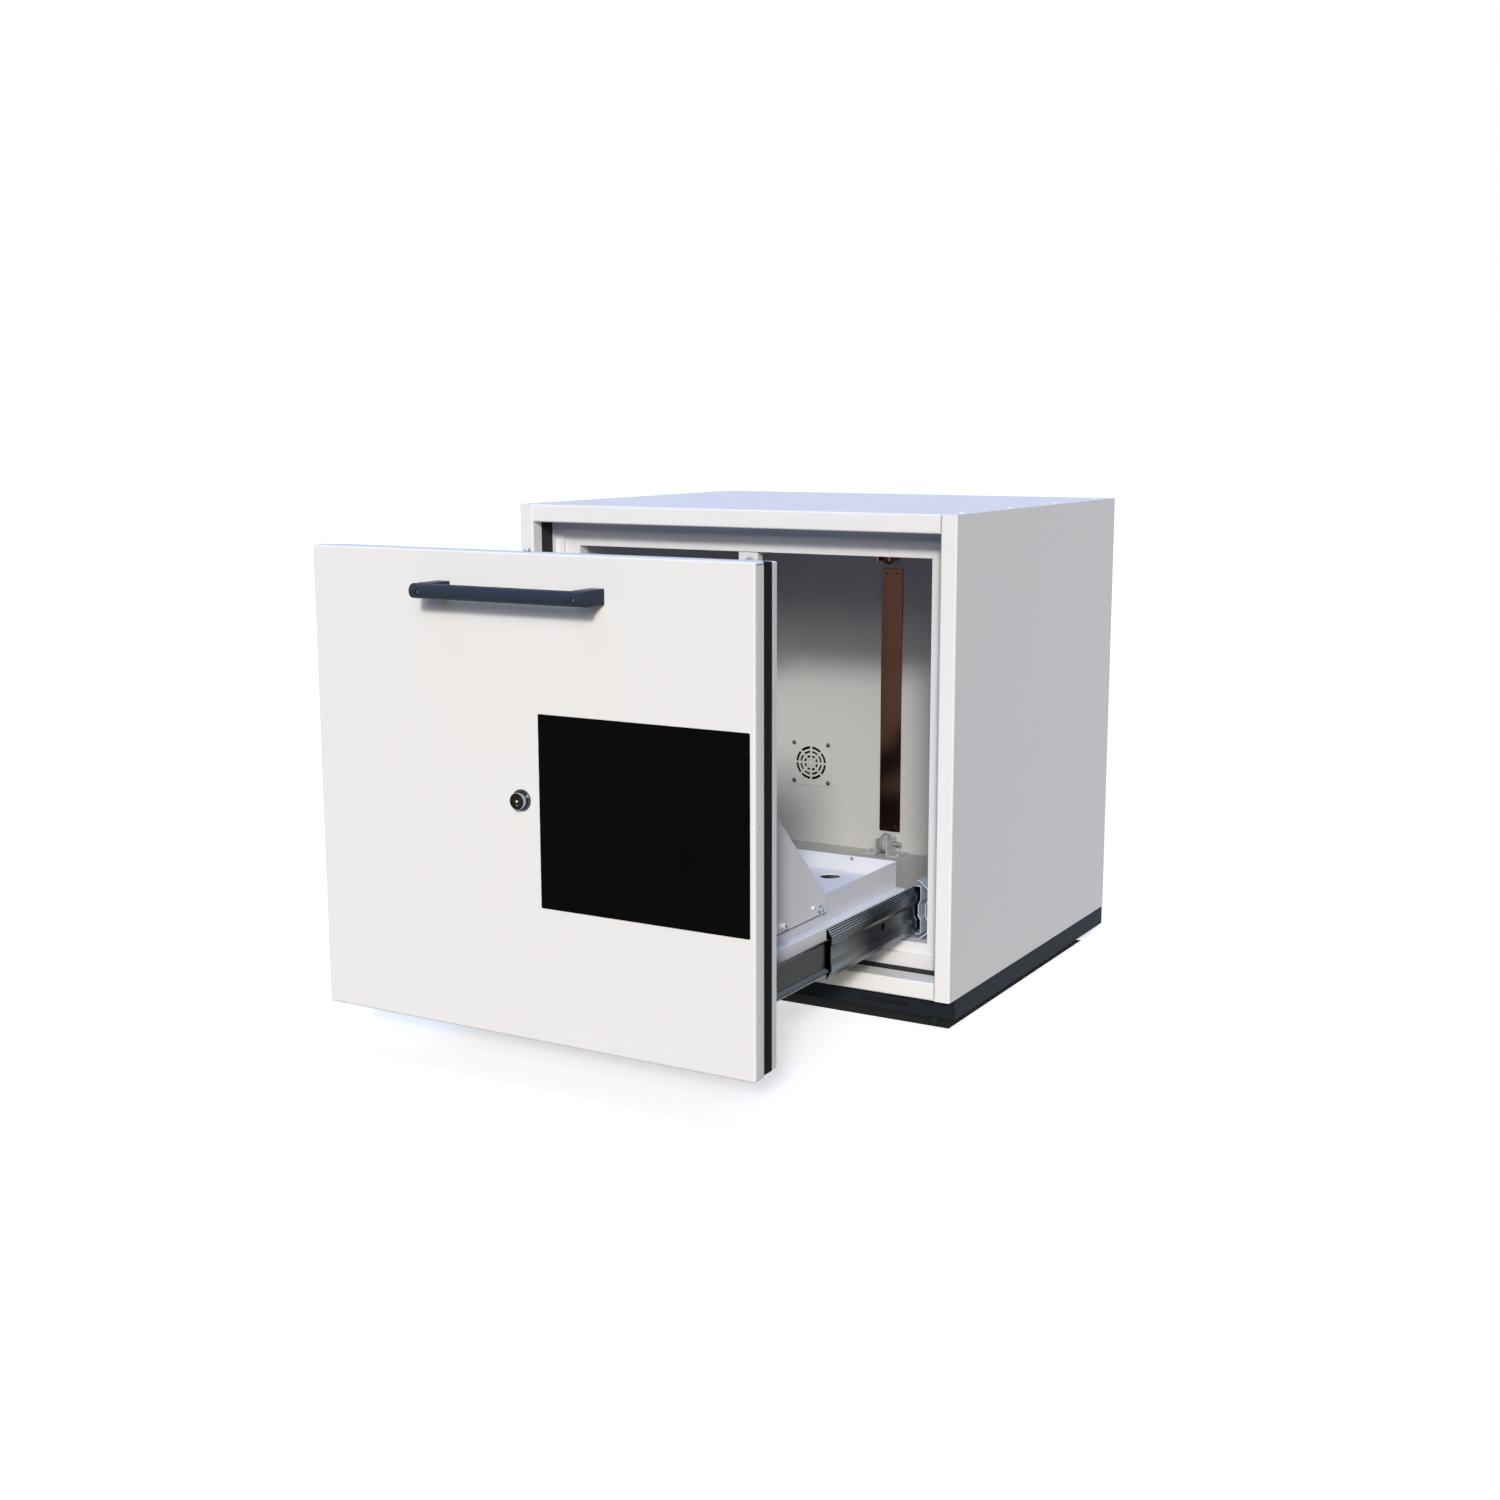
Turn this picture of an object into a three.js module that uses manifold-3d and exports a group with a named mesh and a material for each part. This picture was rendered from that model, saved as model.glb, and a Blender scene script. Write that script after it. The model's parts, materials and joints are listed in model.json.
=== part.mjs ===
// Underbench safety cabinet: an insulated steel box with one full-front pull-out on telescopic slides,
// drawn with the pull-out fully open. Millimetres. x runs to the right, z up from the floor, and y to the
// back, measured from the face of the carcass until the whole cabinet is centred at the end.
import * as THREE from "three";
import { mergeVertices } from "three/addons/utils/BufferGeometryUtils.js";
import Module from "manifold-3d";

const wasm = await Module();
wasm.setup();

// Driving sizes
const overall = { width: 600, depth: 520, height: 600 };
const fit = 0.3; // clearance between neighbouring pieces
const overrun = 1; // how far a cut runs past the piece it cuts
const bend = { inside: 0.8, steps: 3 }; // inner radius of a sheet bend, and the flats that draw it
const weld = 1e-3; // points closer than this are one point

// Carcass: shell, walls and front opening
const shell = { sheet: 1.5, flange: 20, sideReturn: 18, railTop: 22, railBottom: 21.2 };
const rivet = { radius: 4, height: 1.8, fromSide: 8, fromFront: 30, fromRear: 59.5, perSide: 4 }; // on the top
const lowerReturn = 29.4; // depth of the bottom rail's upper face
const wall = { side: 54, top: 53.5, bottom: 51.2, rear: 43 };
const liner = { sheet: 2 };
const strip = { depth: 23.7, lowerDepth: 19.5, thickness: 4 }; // expanding seal strips round the opening
const jamb = { stepFace: 49.5, stepWidth: 12, sillWidth: 16, lipFace: 54, rear: 70 }; // behind the strips

// Plinth and feet
const plinth = { height: 24, setback: 16.5, sheet: 1.5, topFlange: 6 };
const plinthSlot = { length: 63, height: 5.5, fromSide: 90, fromTop: 14 };
const foot = { proud: 13.5, padRadius: 7.5, padHeight: 10, edge: 1.6, stemRadius: 5, stemTop: 36 };
const footPlace = { fromSide: 33, fromFront: 34, fromRear: 34 };
const footBoss = { radius: 8 };

// Exhaust in the back wall
const exhaust = { fromLeft: 164, fromFloor: 119, radius: 30, wall: 1.5 };
const grille = { width: 68, height: 67.5, thickness: 1.2, corner: 4.5, spoke: 2.8, spokes: 8 };
const grilleSlots = [
  [20.9, 24.6],
  [14.9, 17.9],
  [8.1, 11.5],
]; // inner and outer radius of each ring of slots
const grilleDots = { ring: 4.7, radius: 0.9, count: 8 };

// Cover strip and pulleys on the back wall
const cover = { left: -23.5, width: 32.5, fromFloor: 30, fromCeiling: 49.5, thickness: 1.4, corner: 2 };
const pulley = { x: -6, radius: 14, throat: 10.5, width: 14, rim: 3, bore: 2.8, sides: 24 };
const pulleyBracket = { sheet: 2, sideGap: 1, length: 32, fromRear: 1, baseWidth: 22, height: 22.5 };
const pulleyAxle = { radius: 2.5, height: 16.5, rightEnd: 15, leftEnd: 1.5, upperEnd: 3 };
const upperPulley = { drop: 28, legs: 37 }; // axle below the ceiling, and length of the hanging legs

// Catch block under the top lip
const keeper = { width: 26.6, height: 20, depth: 13, fromFace: 2 };

// Telescopic slides
const slide = { front: 57, rearGap: 20, aboveFloor: 39, sheet: 1.2, race: 0.6 };
const travelShare = 1.014; // how far the pull-out comes, as a share of its slides' length
const middleShare = 0.55; // how far the middle member comes, as a share of the pull-out's travel
const carrier = { sheet: 1.5, webHeight: 53, flareHeight: 73.5, flareDepth: 11.7, lip: 4, spacer: 16 };
const outerMember = { fromWall: 9.5, height: 60, lip: 7.5 };
const middleMember = { insideOuter: 3.5, lip: 5, bossDepth: 1.2, bossEdge: 3 };
const innerMember = { insideMiddle: 6.7, height: 38, frontGap: 4.6 };
const ledge = { sheet: 1.5, height: 55.3, flange: 26, shelf: 11, aboveFloor: 70.3, rearShort: 2 };

// Pull-out front
const frontGap = { side: 6, top: 5.2, bottom: 4.1 };
const front = { shell: 17, seal: 19, rear: 10, sheet: 1.2, corner: 1.6, sealWidth: 18 };
const rearInset = 2; // how much smaller the rear panel of the front is, all round

// Tray and gussets
const tray = { height: 30.7, sheet: 1.5, closedRearGap: 36.4, corner: 3 };
const trayHole = { radius: 2.3, fromRim: 3.6, x: 155.5 };
const insert = { height: 10.9, sheet: 1.5, sideGap: 1.8, holeRadius: 12.1, holeX: 143.3, holeFromRear: 34 };
const gusset = { sheet: 2, rise: 203, reach: 209.3, lowerEdge: 11.4, rearHeight: 19.5 };
const gussetFlange = { width: 17, foot: 21 };

// Handle
const handle = { length: 214, radius: 8, standOff: 35.7, fromTop: 39.8, end: 1, sides: 48 };
const post = { width: 16, height: 15.8, fromEnd: 11 };
const handleBore = { radius: 3.4, depth: 3 };

// Lock and its bolt rod
const lock = { x: -2, fromTop: 253.5, radius: 8.75, proud: 9.4, rear: 17.5 };
const lockFlange = { radius: 11.5, thickness: 2.6 };
const plug = { radius: 6, slotWidth: 1.8, slotHeight: 7.5, slotDepth: 4, recess: 0.8 };
const cam = { reach: 10, width: 8, thickness: 2, pinRadius: 2, pinLength: 6 };
const bolt = { x: -6, fromFace: 24, radius: 3.1, proud: 4.7, lift: 10, tip: 1.5, clearance: 1 };
const yoke = { width: 26, height: 17, thickness: 2, slack: 0.6 };
const rodGuide = { width: 16, height: 10, fromTop: 40 };
const lockPocket = { left: 22, right: 20, below: 14, above: 26 };

// Places worked out from the driving sizes
const half = overall.width / 2;
const base = foot.proud + plinth.height + fit; // underside of the carcass
const chamber = {
  x: half - wall.side,
  floor: base + wall.bottom,
  top: overall.height - wall.top,
  rear: overall.depth - wall.rear,
};
const opening = {
  x: half - shell.flange,
  bottom: base + shell.railBottom,
  top: overall.height - shell.railTop,
};
const inside = { x: half - shell.sheet, bottom: base + shell.sheet, top: overall.height - shell.sheet };
const slideZ = chamber.floor + slide.aboveFloor;
const slideLength = chamber.rear - slide.rearGap - slide.front;
const travel = slideLength * travelShare;
const faceY = -travel; // face of the pull-out front
const shellRear = faceY + front.shell;
const sealRear = shellRear + front.seal;
const frontRear = sealRear + front.rear;
const frontX = opening.x - frontGap.side;
const frontBottom = opening.bottom + frontGap.bottom;
const frontTop = opening.top - frontGap.top;
const outerX = chamber.x - outerMember.fromWall; // wall side of each slide member's web
const middleX = outerX - middleMember.insideOuter;
const innerX = middleX - innerMember.insideMiddle;
const ledgeX = innerX - fit;
const trayX = ledgeX - ledge.shelf;
const trayRear = chamber.rear - tray.closedRearGap - travel;
const ledgeTop = chamber.floor + ledge.aboveFloor;
const trayBottom = ledgeTop + fit;
const trayTop = trayBottom + tray.height;
const lockZ = frontTop - lock.fromTop;
const boltY = faceY + bolt.fromFace;
const bossBottom = foot.padHeight + fit; // each foot pad seats on its boss

// Materials, with the colours the real finishes show
const material = (color, roughness, metalness) =>
  new THREE.MeshStandardMaterial({ color, roughness, metalness, flatShading: true });
const whitePaint = material(0xf0eeec, 0.4, 0);
const greyPaint = material(0xbdbfc4, 0.45, 0);
const darkPaint = material(0x2d3236, 0.5, 0);
const handlePaint = material(0x3c4450, 0.4, 0.2);
const sealBlack = material(0x1b1b19, 0.8, 0);
const board = material(0xc9b79a, 0.9, 0);
const zinc = material(0xa9b0b2, 0.3, 0.9);
const chrome = material(0xd0d2d4, 0.12, 1);
const copper = material(0x9a6a4a, 0.25, 1);

const cabinet = new THREE.Group();

function add(name, geometry, finish) {
  const mesh = new THREE.Mesh(geometry, finish);
  mesh.name = name;
  cabinet.add(mesh);
}

// Solids and booleans
function solid(geometry) {
  const loose = geometry.index ? geometry.toNonIndexed() : geometry;
  const points = new THREE.BufferGeometry().setAttribute("position", loose.getAttribute("position"));
  const merged = mergeVertices(points, weld);
  return new wasm.Manifold(
    new wasm.Mesh({
      numProp: 3,
      vertProperties: merged.attributes.position.array,
      triVerts: new Uint32Array(merged.index.array),
    }),
  );
}

function geometryOf(body) {
  const mesh = body.getMesh();
  const geometry = new THREE.BufferGeometry();
  geometry.setAttribute("position", new THREE.BufferAttribute(mesh.vertProperties, 3));
  geometry.setIndex(new THREE.BufferAttribute(mesh.triVerts, 1));
  geometry.computeVertexNormals();
  return geometry;
}

const join = (...pieces) => geometryOf(pieces.map(solid).reduce((sum, piece) => sum.add(piece)));

const cut = (piece, ...tools) =>
  geometryOf(tools.map(solid).reduce((rest, tool) => rest.subtract(tool), solid(piece)));

// Primitive shapes
function box([x0, x1], [y0, y1], [z0, z1]) {
  const geometry = new THREE.BoxGeometry(x1 - x0, y1 - y0, z1 - z0);
  return geometry.translate((x0 + x1) / 2, (y0 + y1) / 2, (z0 + z1) / 2);
}

// An outline along z is drawn in (x, y), one along y in (x, z), and one along x in (y, z).
const unit = { x: new THREE.Vector3(1, 0, 0), y: new THREE.Vector3(0, 1, 0), z: new THREE.Vector3(0, 0, 1) };
const planes = {
  x: new THREE.Matrix4().makeBasis(unit.y, unit.z, unit.x),
  y: new THREE.Matrix4().makeBasis(unit.x, unit.z, unit.y.clone().negate()),
  z: new THREE.Matrix4(),
};

function prism(outline, axis, [from, to], holes = []) {
  const points = (line) => line.map(([u, v]) => new THREE.Vector2(u, v));
  const shape = new THREE.Shape(points(outline));
  shape.holes = holes.map((hole) => new THREE.Path(points(hole)));
  const geometry = new THREE.ExtrudeGeometry(shape, { depth: to - from, bevelEnabled: false });
  geometry.applyMatrix4(planes[axis]);
  const start = unit[axis].clone().multiplyScalar(axis === "y" ? to : from);
  return geometry.translate(start.x, start.y, start.z);
}

// A round bar along an axis. `at` is its centre in the same pair of directions as an outline along that axis.
function bar(radius, axis, at, [from, to], sides = 24) {
  const geometry = new THREE.CylinderGeometry(radius, radius, to - from, sides);
  const middle = (from + to) / 2;
  if (axis === "x") return geometry.rotateZ(-Math.PI / 2).translate(middle, at[0], at[1]);
  if (axis === "y") return geometry.translate(at[0], middle, at[1]);
  return geometry.rotateX(Math.PI / 2).translate(at[0], at[1], middle);
}

const rectangle = ([u0, u1], [v0, v1]) => [
  [u0, v0],
  [u1, v0],
  [u1, v1],
  [u0, v1],
];

const arc = (u, v, radius, from, to, steps) =>
  Array.from({ length: steps + 1 }, (_, i) => {
    const turn = from + ((to - from) * i) / steps;
    return [u + radius * Math.cos(turn), v + radius * Math.sin(turn)];
  });

const cornerSteps = 4;
const quarter = Math.PI / 2;

// A rectangle with round corners, or a slot when the corner radius is half its height
function rounded([u0, u1], [v0, v1], radius) {
  const centres = [
    [u1 - radius, v1 - radius],
    [u0 + radius, v1 - radius],
    [u0 + radius, v0 + radius],
    [u1 - radius, v0 + radius],
  ];
  return centres.flatMap(([u, v], i) => arc(u, v, radius, quarter * i, quarter * (i + 1), cornerSteps));
}

// The outline of a bent sheet. `face` is the line of one of its faces, and the sheet lies to the left of
// that line as it runs. Each bend is round, with bend.inside as its inner radius.
function bentSheet(face, thickness) {
  const points = face.map(([u, v]) => new THREE.Vector2(u, v));
  const along = points.slice(1).map((point, i) => point.clone().sub(points[i]).normalize());
  const left = along.map((way) => new THREE.Vector2(-way.y, way.x));
  const near = [points[0]];
  const far = [points[0].clone().addScaledVector(left[0], thickness)];
  for (let i = 1; i < along.length; i++) {
    const turn = Math.atan2(along[i - 1].cross(along[i]), along[i - 1].dot(along[i]));
    const side = Math.sign(turn);
    const nearRadius = bend.inside + (side > 0 ? thickness : 0);
    const farRadius = bend.inside + (side > 0 ? 0 : thickness);
    const run = nearRadius * Math.tan(Math.abs(turn) / 2);
    const start = points[i].clone().addScaledVector(along[i - 1], -run);
    const centre = start.clone().addScaledVector(left[i - 1], side * nearRadius);
    for (let step = 0; step <= bend.steps; step++) {
      const spoke = left[i - 1].clone().multiplyScalar(-side);
      spoke.rotateAround(new THREE.Vector2(), (turn * step) / bend.steps);
      near.push(centre.clone().addScaledVector(spoke, nearRadius));
      far.push(centre.clone().addScaledVector(spoke, farRadius));
    }
  }
  near.push(points[points.length - 1]);
  far.push(points[points.length - 1].clone().addScaledVector(left[left.length - 1], thickness));
  return [...near, ...far.reverse()].map((point) => [point.x, point.y]);
}

const mirrored = (outline, side) => outline.map(([x, v]) => [side * x, v]);
const both = [
  ["left", -1],
  ["right", 1],
];
const span = (side, a, b) => (side > 0 ? [a, b] : [-b, -a]);
const wide = (x) => [-x, x];

// Outer shell of the carcass
function carcassShell() {
  const sideFace = [
    [opening.x, shell.sideReturn],
    [opening.x, 0],
    [half, 0],
    [half, overall.depth],
  ];
  for (const [name, side] of both) {
    const section = mirrored(bentSheet(sideFace, shell.sheet), side);
    const panel = prism(section, "z", [base, overall.height]);
    const corner = [span(side, opening.x - overrun, inside.x), [shell.sheet, shell.sideReturn + overrun]];
    const topCut = box(...corner, [inside.top - fit, overall.height + overrun]);
    const bottomCut = box(...corner, [base - overrun, inside.bottom + fit]);
    add(`side_panel_${name}`, cut(panel, topCut, bottomCut), whitePaint);
  }

  const plateDepth = [shell.sheet + fit, overall.depth - shell.sheet - fit];
  const plate = (heights) => box(wide(inside.x - fit), plateDepth, heights);
  const topRail = [
    [lowerReturn, overall.height],
    [0, overall.height],
    [0, opening.top],
    [shell.sideReturn, opening.top],
  ];
  const bottomRail = [
    [lowerReturn, opening.bottom],
    [0, opening.bottom],
    [0, base],
    [lowerReturn, base],
  ];
  const rail = (face) => prism(bentSheet(face, shell.sheet), "x", wide(opening.x - fit));
  add("top_panel", join(plate([inside.top, overall.height]), rail(topRail), ...topRivets()), whitePaint);

  const bosses = footPlaces().map(([x, y]) =>
    bar(footBoss.radius, "z", [x, y], [bossBottom, base + shell.sheet / 2]),
  );
  const bores = footPlaces().map(([x, y]) =>
    bar(foot.stemRadius + fit, "z", [x, y], [bossBottom - overrun, inside.bottom + overrun]),
  );
  const floorPan = join(plate([base, inside.bottom]), rail(bottomRail), ...bosses);
  add("bottom_panel", cut(floorPan, ...bores), whitePaint);

  const rearDepth = [overall.depth - shell.sheet, overall.depth];
  const rear = box(wide(inside.x - fit), rearDepth, [base, overall.height]);
  add("rear_panel", cut(rear, ductHole([rearDepth[0] - overrun, rearDepth[1] + overrun])), whitePaint);
}

// Rivet heads along both side edges of the top, each a cap of a sphere over a short shank in the plate
function topRivets() {
  const cap = (rivet.radius ** 2 + rivet.height ** 2) / (2 * rivet.height); // radius of the sphere
  const centre = overall.height + rivet.height - cap;
  const rim = Math.asin((cap - rivet.height) / cap);
  const pitch = (overall.depth - rivet.fromFront - rivet.fromRear) / (rivet.perSide - 1);
  const profile = [
    [0, overall.height - shell.sheet / 2],
    [rivet.radius, overall.height - shell.sheet / 2],
    ...arc(0, centre, cap, rim, quarter, bend.steps).slice(0, -1),
    [0, overall.height + rivet.height],
  ].map(([radius, height]) => new THREE.Vector2(radius, height));
  return both.flatMap(([, side]) =>
    Array.from({ length: rivet.perSide }, (_, i) =>
      new THREE.LatheGeometry(profile, 12)
        .rotateX(quarter)
        .translate(side * (half - rivet.fromSide), rivet.fromFront + pitch * i, 0),
    ),
  );
}

// Expanding seal strips that line the opening, and the stepped frame behind them
function openingFrame() {
  const stripY = [shell.sideReturn + fit, shell.sideReturn + fit + strip.depth];
  const lowerY = [lowerReturn + fit, lowerReturn + fit + strip.lowerDepth];
  const outside = { x: opening.x + strip.thickness, bottom: opening.bottom - strip.thickness };
  const top = opening.top + strip.thickness;
  for (const [name, side] of both) {
    const seal = box(span(side, opening.x, outside.x), stripY, [opening.bottom + fit, top]);
    add(`seal_strip_${name}`, seal, sealBlack);
  }
  const upper = box(wide(opening.x - fit), stripY, [opening.top, top]);
  add("seal_strip_top", cut(upper, boltHole()), sealBlack);
  add("seal_strip_bottom", box(wide(opening.x - fit), lowerY, [outside.bottom, opening.bottom]), sealBlack);

  const outer = rectangle(wide(inside.x - fit), [inside.bottom + fit, inside.top - fit]);
  const ring = (depths, x, bottom, ceiling) =>
    prism(outer, "y", depths, [rectangle(wide(x), [bottom, ceiling]).reverse()]);
  const pocket = { x: outside.x + fit, bottom: outside.bottom - fit, top: top + fit };
  const frame = join(
    ring([stripY[0] + fit, jamb.rear], pocket.x, pocket.bottom, pocket.top),
    ring([stripY[1] + fit, jamb.rear], opening.x, pocket.bottom, opening.top),
    ring([lowerY[1] + fit, jamb.rear], opening.x, opening.bottom, opening.top),
    ring(
      [jamb.stepFace, jamb.rear],
      opening.x - jamb.stepWidth,
      opening.bottom + jamb.sillWidth,
      opening.top - jamb.stepWidth,
    ),
    ring([jamb.lipFace, jamb.rear], chamber.x, chamber.floor, chamber.top),
  );
  add("inner_frame", cut(frame, boltHole()), whitePaint);

  const block = box(
    wide(keeper.width / 2),
    [jamb.lipFace + keeper.fromFace, jamb.lipFace + keeper.fromFace + keeper.depth],
    [chamber.top - fit - keeper.height, chamber.top - fit],
  );
  add("keeper_block", block, whitePaint);
}

// Hole that takes the bolt rod when the pull-out is shut and locked
function boltHole() {
  const reach = frontTop + bolt.proud + bolt.lift + bolt.clearance;
  return bar(bolt.radius + bolt.clearance, "z", [bolt.x, bolt.fromFace], [opening.top - overrun, reach]);
}

// Insulation boards between the shell and the liner
function insulation() {
  const depth = [jamb.rear + fit, chamber.rear + liner.sheet + fit];
  const rearBoard = [depth[1] + fit, overall.depth - shell.sheet - fit];
  const height = [inside.bottom + fit, inside.top - fit];
  const x = inside.x - fit;
  const linerX = chamber.x + liner.sheet + fit;
  for (const [name, side] of both) {
    add(`insulation_${name}`, box(span(side, linerX, x), depth, height), board);
  }
  const floor = chamber.floor - liner.sheet - fit;
  const ceiling = chamber.top + liner.sheet + fit;
  add("insulation_bottom", box(wide(linerX - fit), depth, [height[0], floor]), board);
  add("insulation_top", box(wide(linerX - fit), depth, [ceiling, height[1]]), board);
  add("insulation_rear", cut(box(wide(x), rearBoard, height), ductHole([depth[1], overall.depth])), board);
}

// Sheet liner of the chamber
function chamberLiner() {
  const depth = [jamb.rear + fit, chamber.rear - fit];
  const height = [chamber.floor - liner.sheet, chamber.top + liner.sheet];
  const x = chamber.x + liner.sheet;
  for (const [name, side] of both) {
    add(`liner_${name}`, box(span(side, chamber.x, x), depth, height), greyPaint);
  }
  add("liner_floor", box(wide(chamber.x - fit), depth, [height[0], chamber.floor]), greyPaint);
  add("liner_ceiling", box(wide(chamber.x - fit), depth, [chamber.top, height[1]]), greyPaint);
  const backDepth = [chamber.rear, chamber.rear + liner.sheet];
  const back = box(wide(x), backDepth, height);
  add("liner_back", cut(back, ductHole([backDepth[0] - overrun, backDepth[1] + overrun])), greyPaint);
}

// Exhaust duct through the back wall, and the grille over it
const ductAt = [exhaust.fromLeft - half, chamber.floor + exhaust.fromFloor];

function ductHole(depths) {
  return bar(exhaust.radius + fit, "y", ductAt, depths, 32);
}

function exhaustDuct() {
  const tube = bar(exhaust.radius, "y", ductAt, [chamber.rear + fit, overall.depth], 32);
  const boreDepth = [chamber.rear - overrun, overall.depth + overrun];
  const bore = bar(exhaust.radius - exhaust.wall, "y", ductAt, boreDepth, 32);
  add("exhaust_duct", cut(tube, bore), zinc);

  const [x, z] = ductAt;
  const plate = rounded(
    [x - grille.width / 2, x + grille.width / 2],
    [z - grille.height / 2, z + grille.height / 2],
    grille.corner,
  );
  const slots = grilleSlots.flatMap(([inner, outer]) =>
    Array.from({ length: grille.spokes }, (_, i) => {
      const middle = (2 * Math.PI * (i + 0.5)) / grille.spokes;
      const reach = (radius) => Math.PI / grille.spokes - grille.spoke / 2 / radius;
      const rim = arc(x, z, outer, middle - reach(outer), middle + reach(outer), cornerSteps);
      const root = arc(x, z, inner, middle + reach(inner), middle - reach(inner), cornerSteps);
      return [...rim, ...root].reverse();
    }),
  );
  const dots = Array.from({ length: grilleDots.count }, (_, i) => {
    const turn = (2 * Math.PI * (i + 0.5)) / grilleDots.count;
    const centre = [x + grilleDots.ring * Math.cos(turn), z + grilleDots.ring * Math.sin(turn)];
    return arc(...centre, grilleDots.radius, 2 * Math.PI, 0, 6).slice(1);
  });
  const depths = [chamber.rear - fit - grille.thickness, chamber.rear - fit];
  add("vent_grille", prism(plate, "y", depths, [...slots, ...dots]), greyPaint);
}

// Cover strip and the two pulleys of the closing line, on the back wall
function pulleys() {
  const strap = rounded(
    [cover.left, cover.left + cover.width],
    [chamber.floor + cover.fromFloor, chamber.top - cover.fromCeiling],
    cover.corner,
  );
  add("cover_strip", prism(strap, "y", [chamber.rear - fit - cover.thickness, chamber.rear - fit]), copper);

  const rear = chamber.rear - pulleyBracket.fromRear;
  const depths = [rear - pulleyBracket.length, rear];
  const centreY = (depths[0] + depths[1]) / 2;
  const face = pulley.width / 2 + pulleyBracket.sideGap; // inner face of an upright, from the wheel's middle
  const foot = chamber.floor + fit;
  const axleZ = chamber.floor + pulleyAxle.height;
  const upright = [
    [face, foot + pulleyBracket.height],
    [face, foot],
    [face + pulleyBracket.baseWidth, foot],
  ];
  for (const [name, side] of both) {
    const section = mirrored(bentSheet(upright, pulleyBracket.sheet), side);
    const bracket = prism(section, "y", depths).translate(pulley.x, 0, 0);
    const bore = bar(pulleyAxle.radius + fit, "x", [centreY, axleZ], wide(half));
    add(`lower_pulley_bracket_${name}`, cut(bracket, bore), zinc);
  }
  add("lower_pulley", pulleyWheel(centreY, axleZ), zinc);
  const axleEnds = [
    pulley.x - face - pulleyBracket.sheet - pulleyAxle.leftEnd,
    pulley.x + face + pulleyBracket.sheet + pulleyAxle.rightEnd,
  ];
  add("lower_pulley_axle", bar(pulleyAxle.radius, "x", [centreY, axleZ], axleEnds), chrome);

  const hung = chamber.top - fit;
  const hangZ = hung - upperPulley.drop;
  const legs = hung - upperPulley.legs;
  const outer = face + pulleyBracket.sheet;
  const channel = [
    [outer, legs],
    [outer, hung],
    [-outer, hung],
    [-outer, legs],
  ];
  const hanger = prism(bentSheet(channel, pulleyBracket.sheet), "y", depths).translate(pulley.x, 0, 0);
  const hangerBore = bar(pulleyAxle.radius + fit, "x", [centreY, hangZ], wide(half));
  add("upper_pulley_bracket", cut(hanger, hangerBore), copper);
  add("upper_pulley", pulleyWheel(centreY, hangZ), copper);
  const upperEnds = [pulley.x - outer - pulleyAxle.upperEnd, pulley.x + outer + pulleyAxle.upperEnd];
  add("upper_pulley_axle", bar(pulleyAxle.radius, "x", [centreY, hangZ], upperEnds), chrome);
}

function pulleyWheel(y, z) {
  const edge = pulley.width / 2;
  const profile = [
    [pulley.bore, -edge],
    [pulley.radius, -edge],
    [pulley.radius, pulley.rim - edge],
    [pulley.throat, 0],
    [pulley.radius, edge - pulley.rim],
    [pulley.radius, edge],
    [pulley.bore, edge],
    [pulley.bore, -edge],
  ].map(([radius, along]) => new THREE.Vector2(radius, along));
  const wheel = new THREE.LatheGeometry(profile, pulley.sides);
  return wheel.rotateZ(-quarter).translate(pulley.x, y, z);
}

// Plinth under the carcass, and the four levelling feet inside it
function plinthAndFeet() {
  const levels = [foot.proud, foot.proud + plinth.height];
  const frontX = half - plinth.sheet - fit;
  const frontSection = bentSheet(
    [
      [plinth.setback + plinth.topFlange, levels[1]],
      [plinth.setback, levels[1]],
      [plinth.setback, levels[0]],
    ],
    plinth.sheet,
  );
  const slots = both.map(([, side]) => {
    const centre = side * (half - plinthSlot.fromSide);
    const middle = levels[1] - plinthSlot.fromTop;
    const outline = rounded(
      [centre - plinthSlot.length / 2, centre + plinthSlot.length / 2],
      [middle - plinthSlot.height / 2, middle + plinthSlot.height / 2],
      plinthSlot.height / 2,
    );
    return prism(outline, "y", [plinth.setback - overrun, plinth.setback + plinth.sheet + overrun]);
  });
  add("plinth_front", cut(prism(frontSection, "x", wide(frontX)), ...slots), darkPaint);

  const frame = bentSheet(
    [
      [-half, plinth.setback],
      [-half, overall.depth],
      [half, overall.depth],
      [half, plinth.setback],
    ].reverse(),
    plinth.sheet,
  );
  add("plinth_frame", prism(frame, "z", levels), darkPaint);

  footPlaces().forEach(([x, y], i) => {
    const profile = [
      [0, 0],
      [foot.padRadius - foot.edge, 0],
      ...arc(foot.padRadius - foot.edge, foot.edge, foot.edge, -quarter, 0, bend.steps).slice(1),
      [foot.padRadius, foot.padHeight],
      [foot.stemRadius, foot.padHeight],
      [foot.stemRadius, foot.stemTop],
      [0, foot.stemTop],
    ].map(([radius, height]) => new THREE.Vector2(radius, height));
    const turned = new THREE.LatheGeometry(profile, 24).rotateX(quarter);
    add(`foot_${footNames[i]}`, turned.translate(x, y, 0), darkPaint);
  });
}

const footNames = ["front_left", "front_right", "rear_left", "rear_right"];

function footPlaces() {
  const x = half - footPlace.fromSide;
  return [footPlace.fromFront, overall.depth - footPlace.fromRear].flatMap((y) => [
    [-x, y],
    [x, y],
  ]);
}

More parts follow.
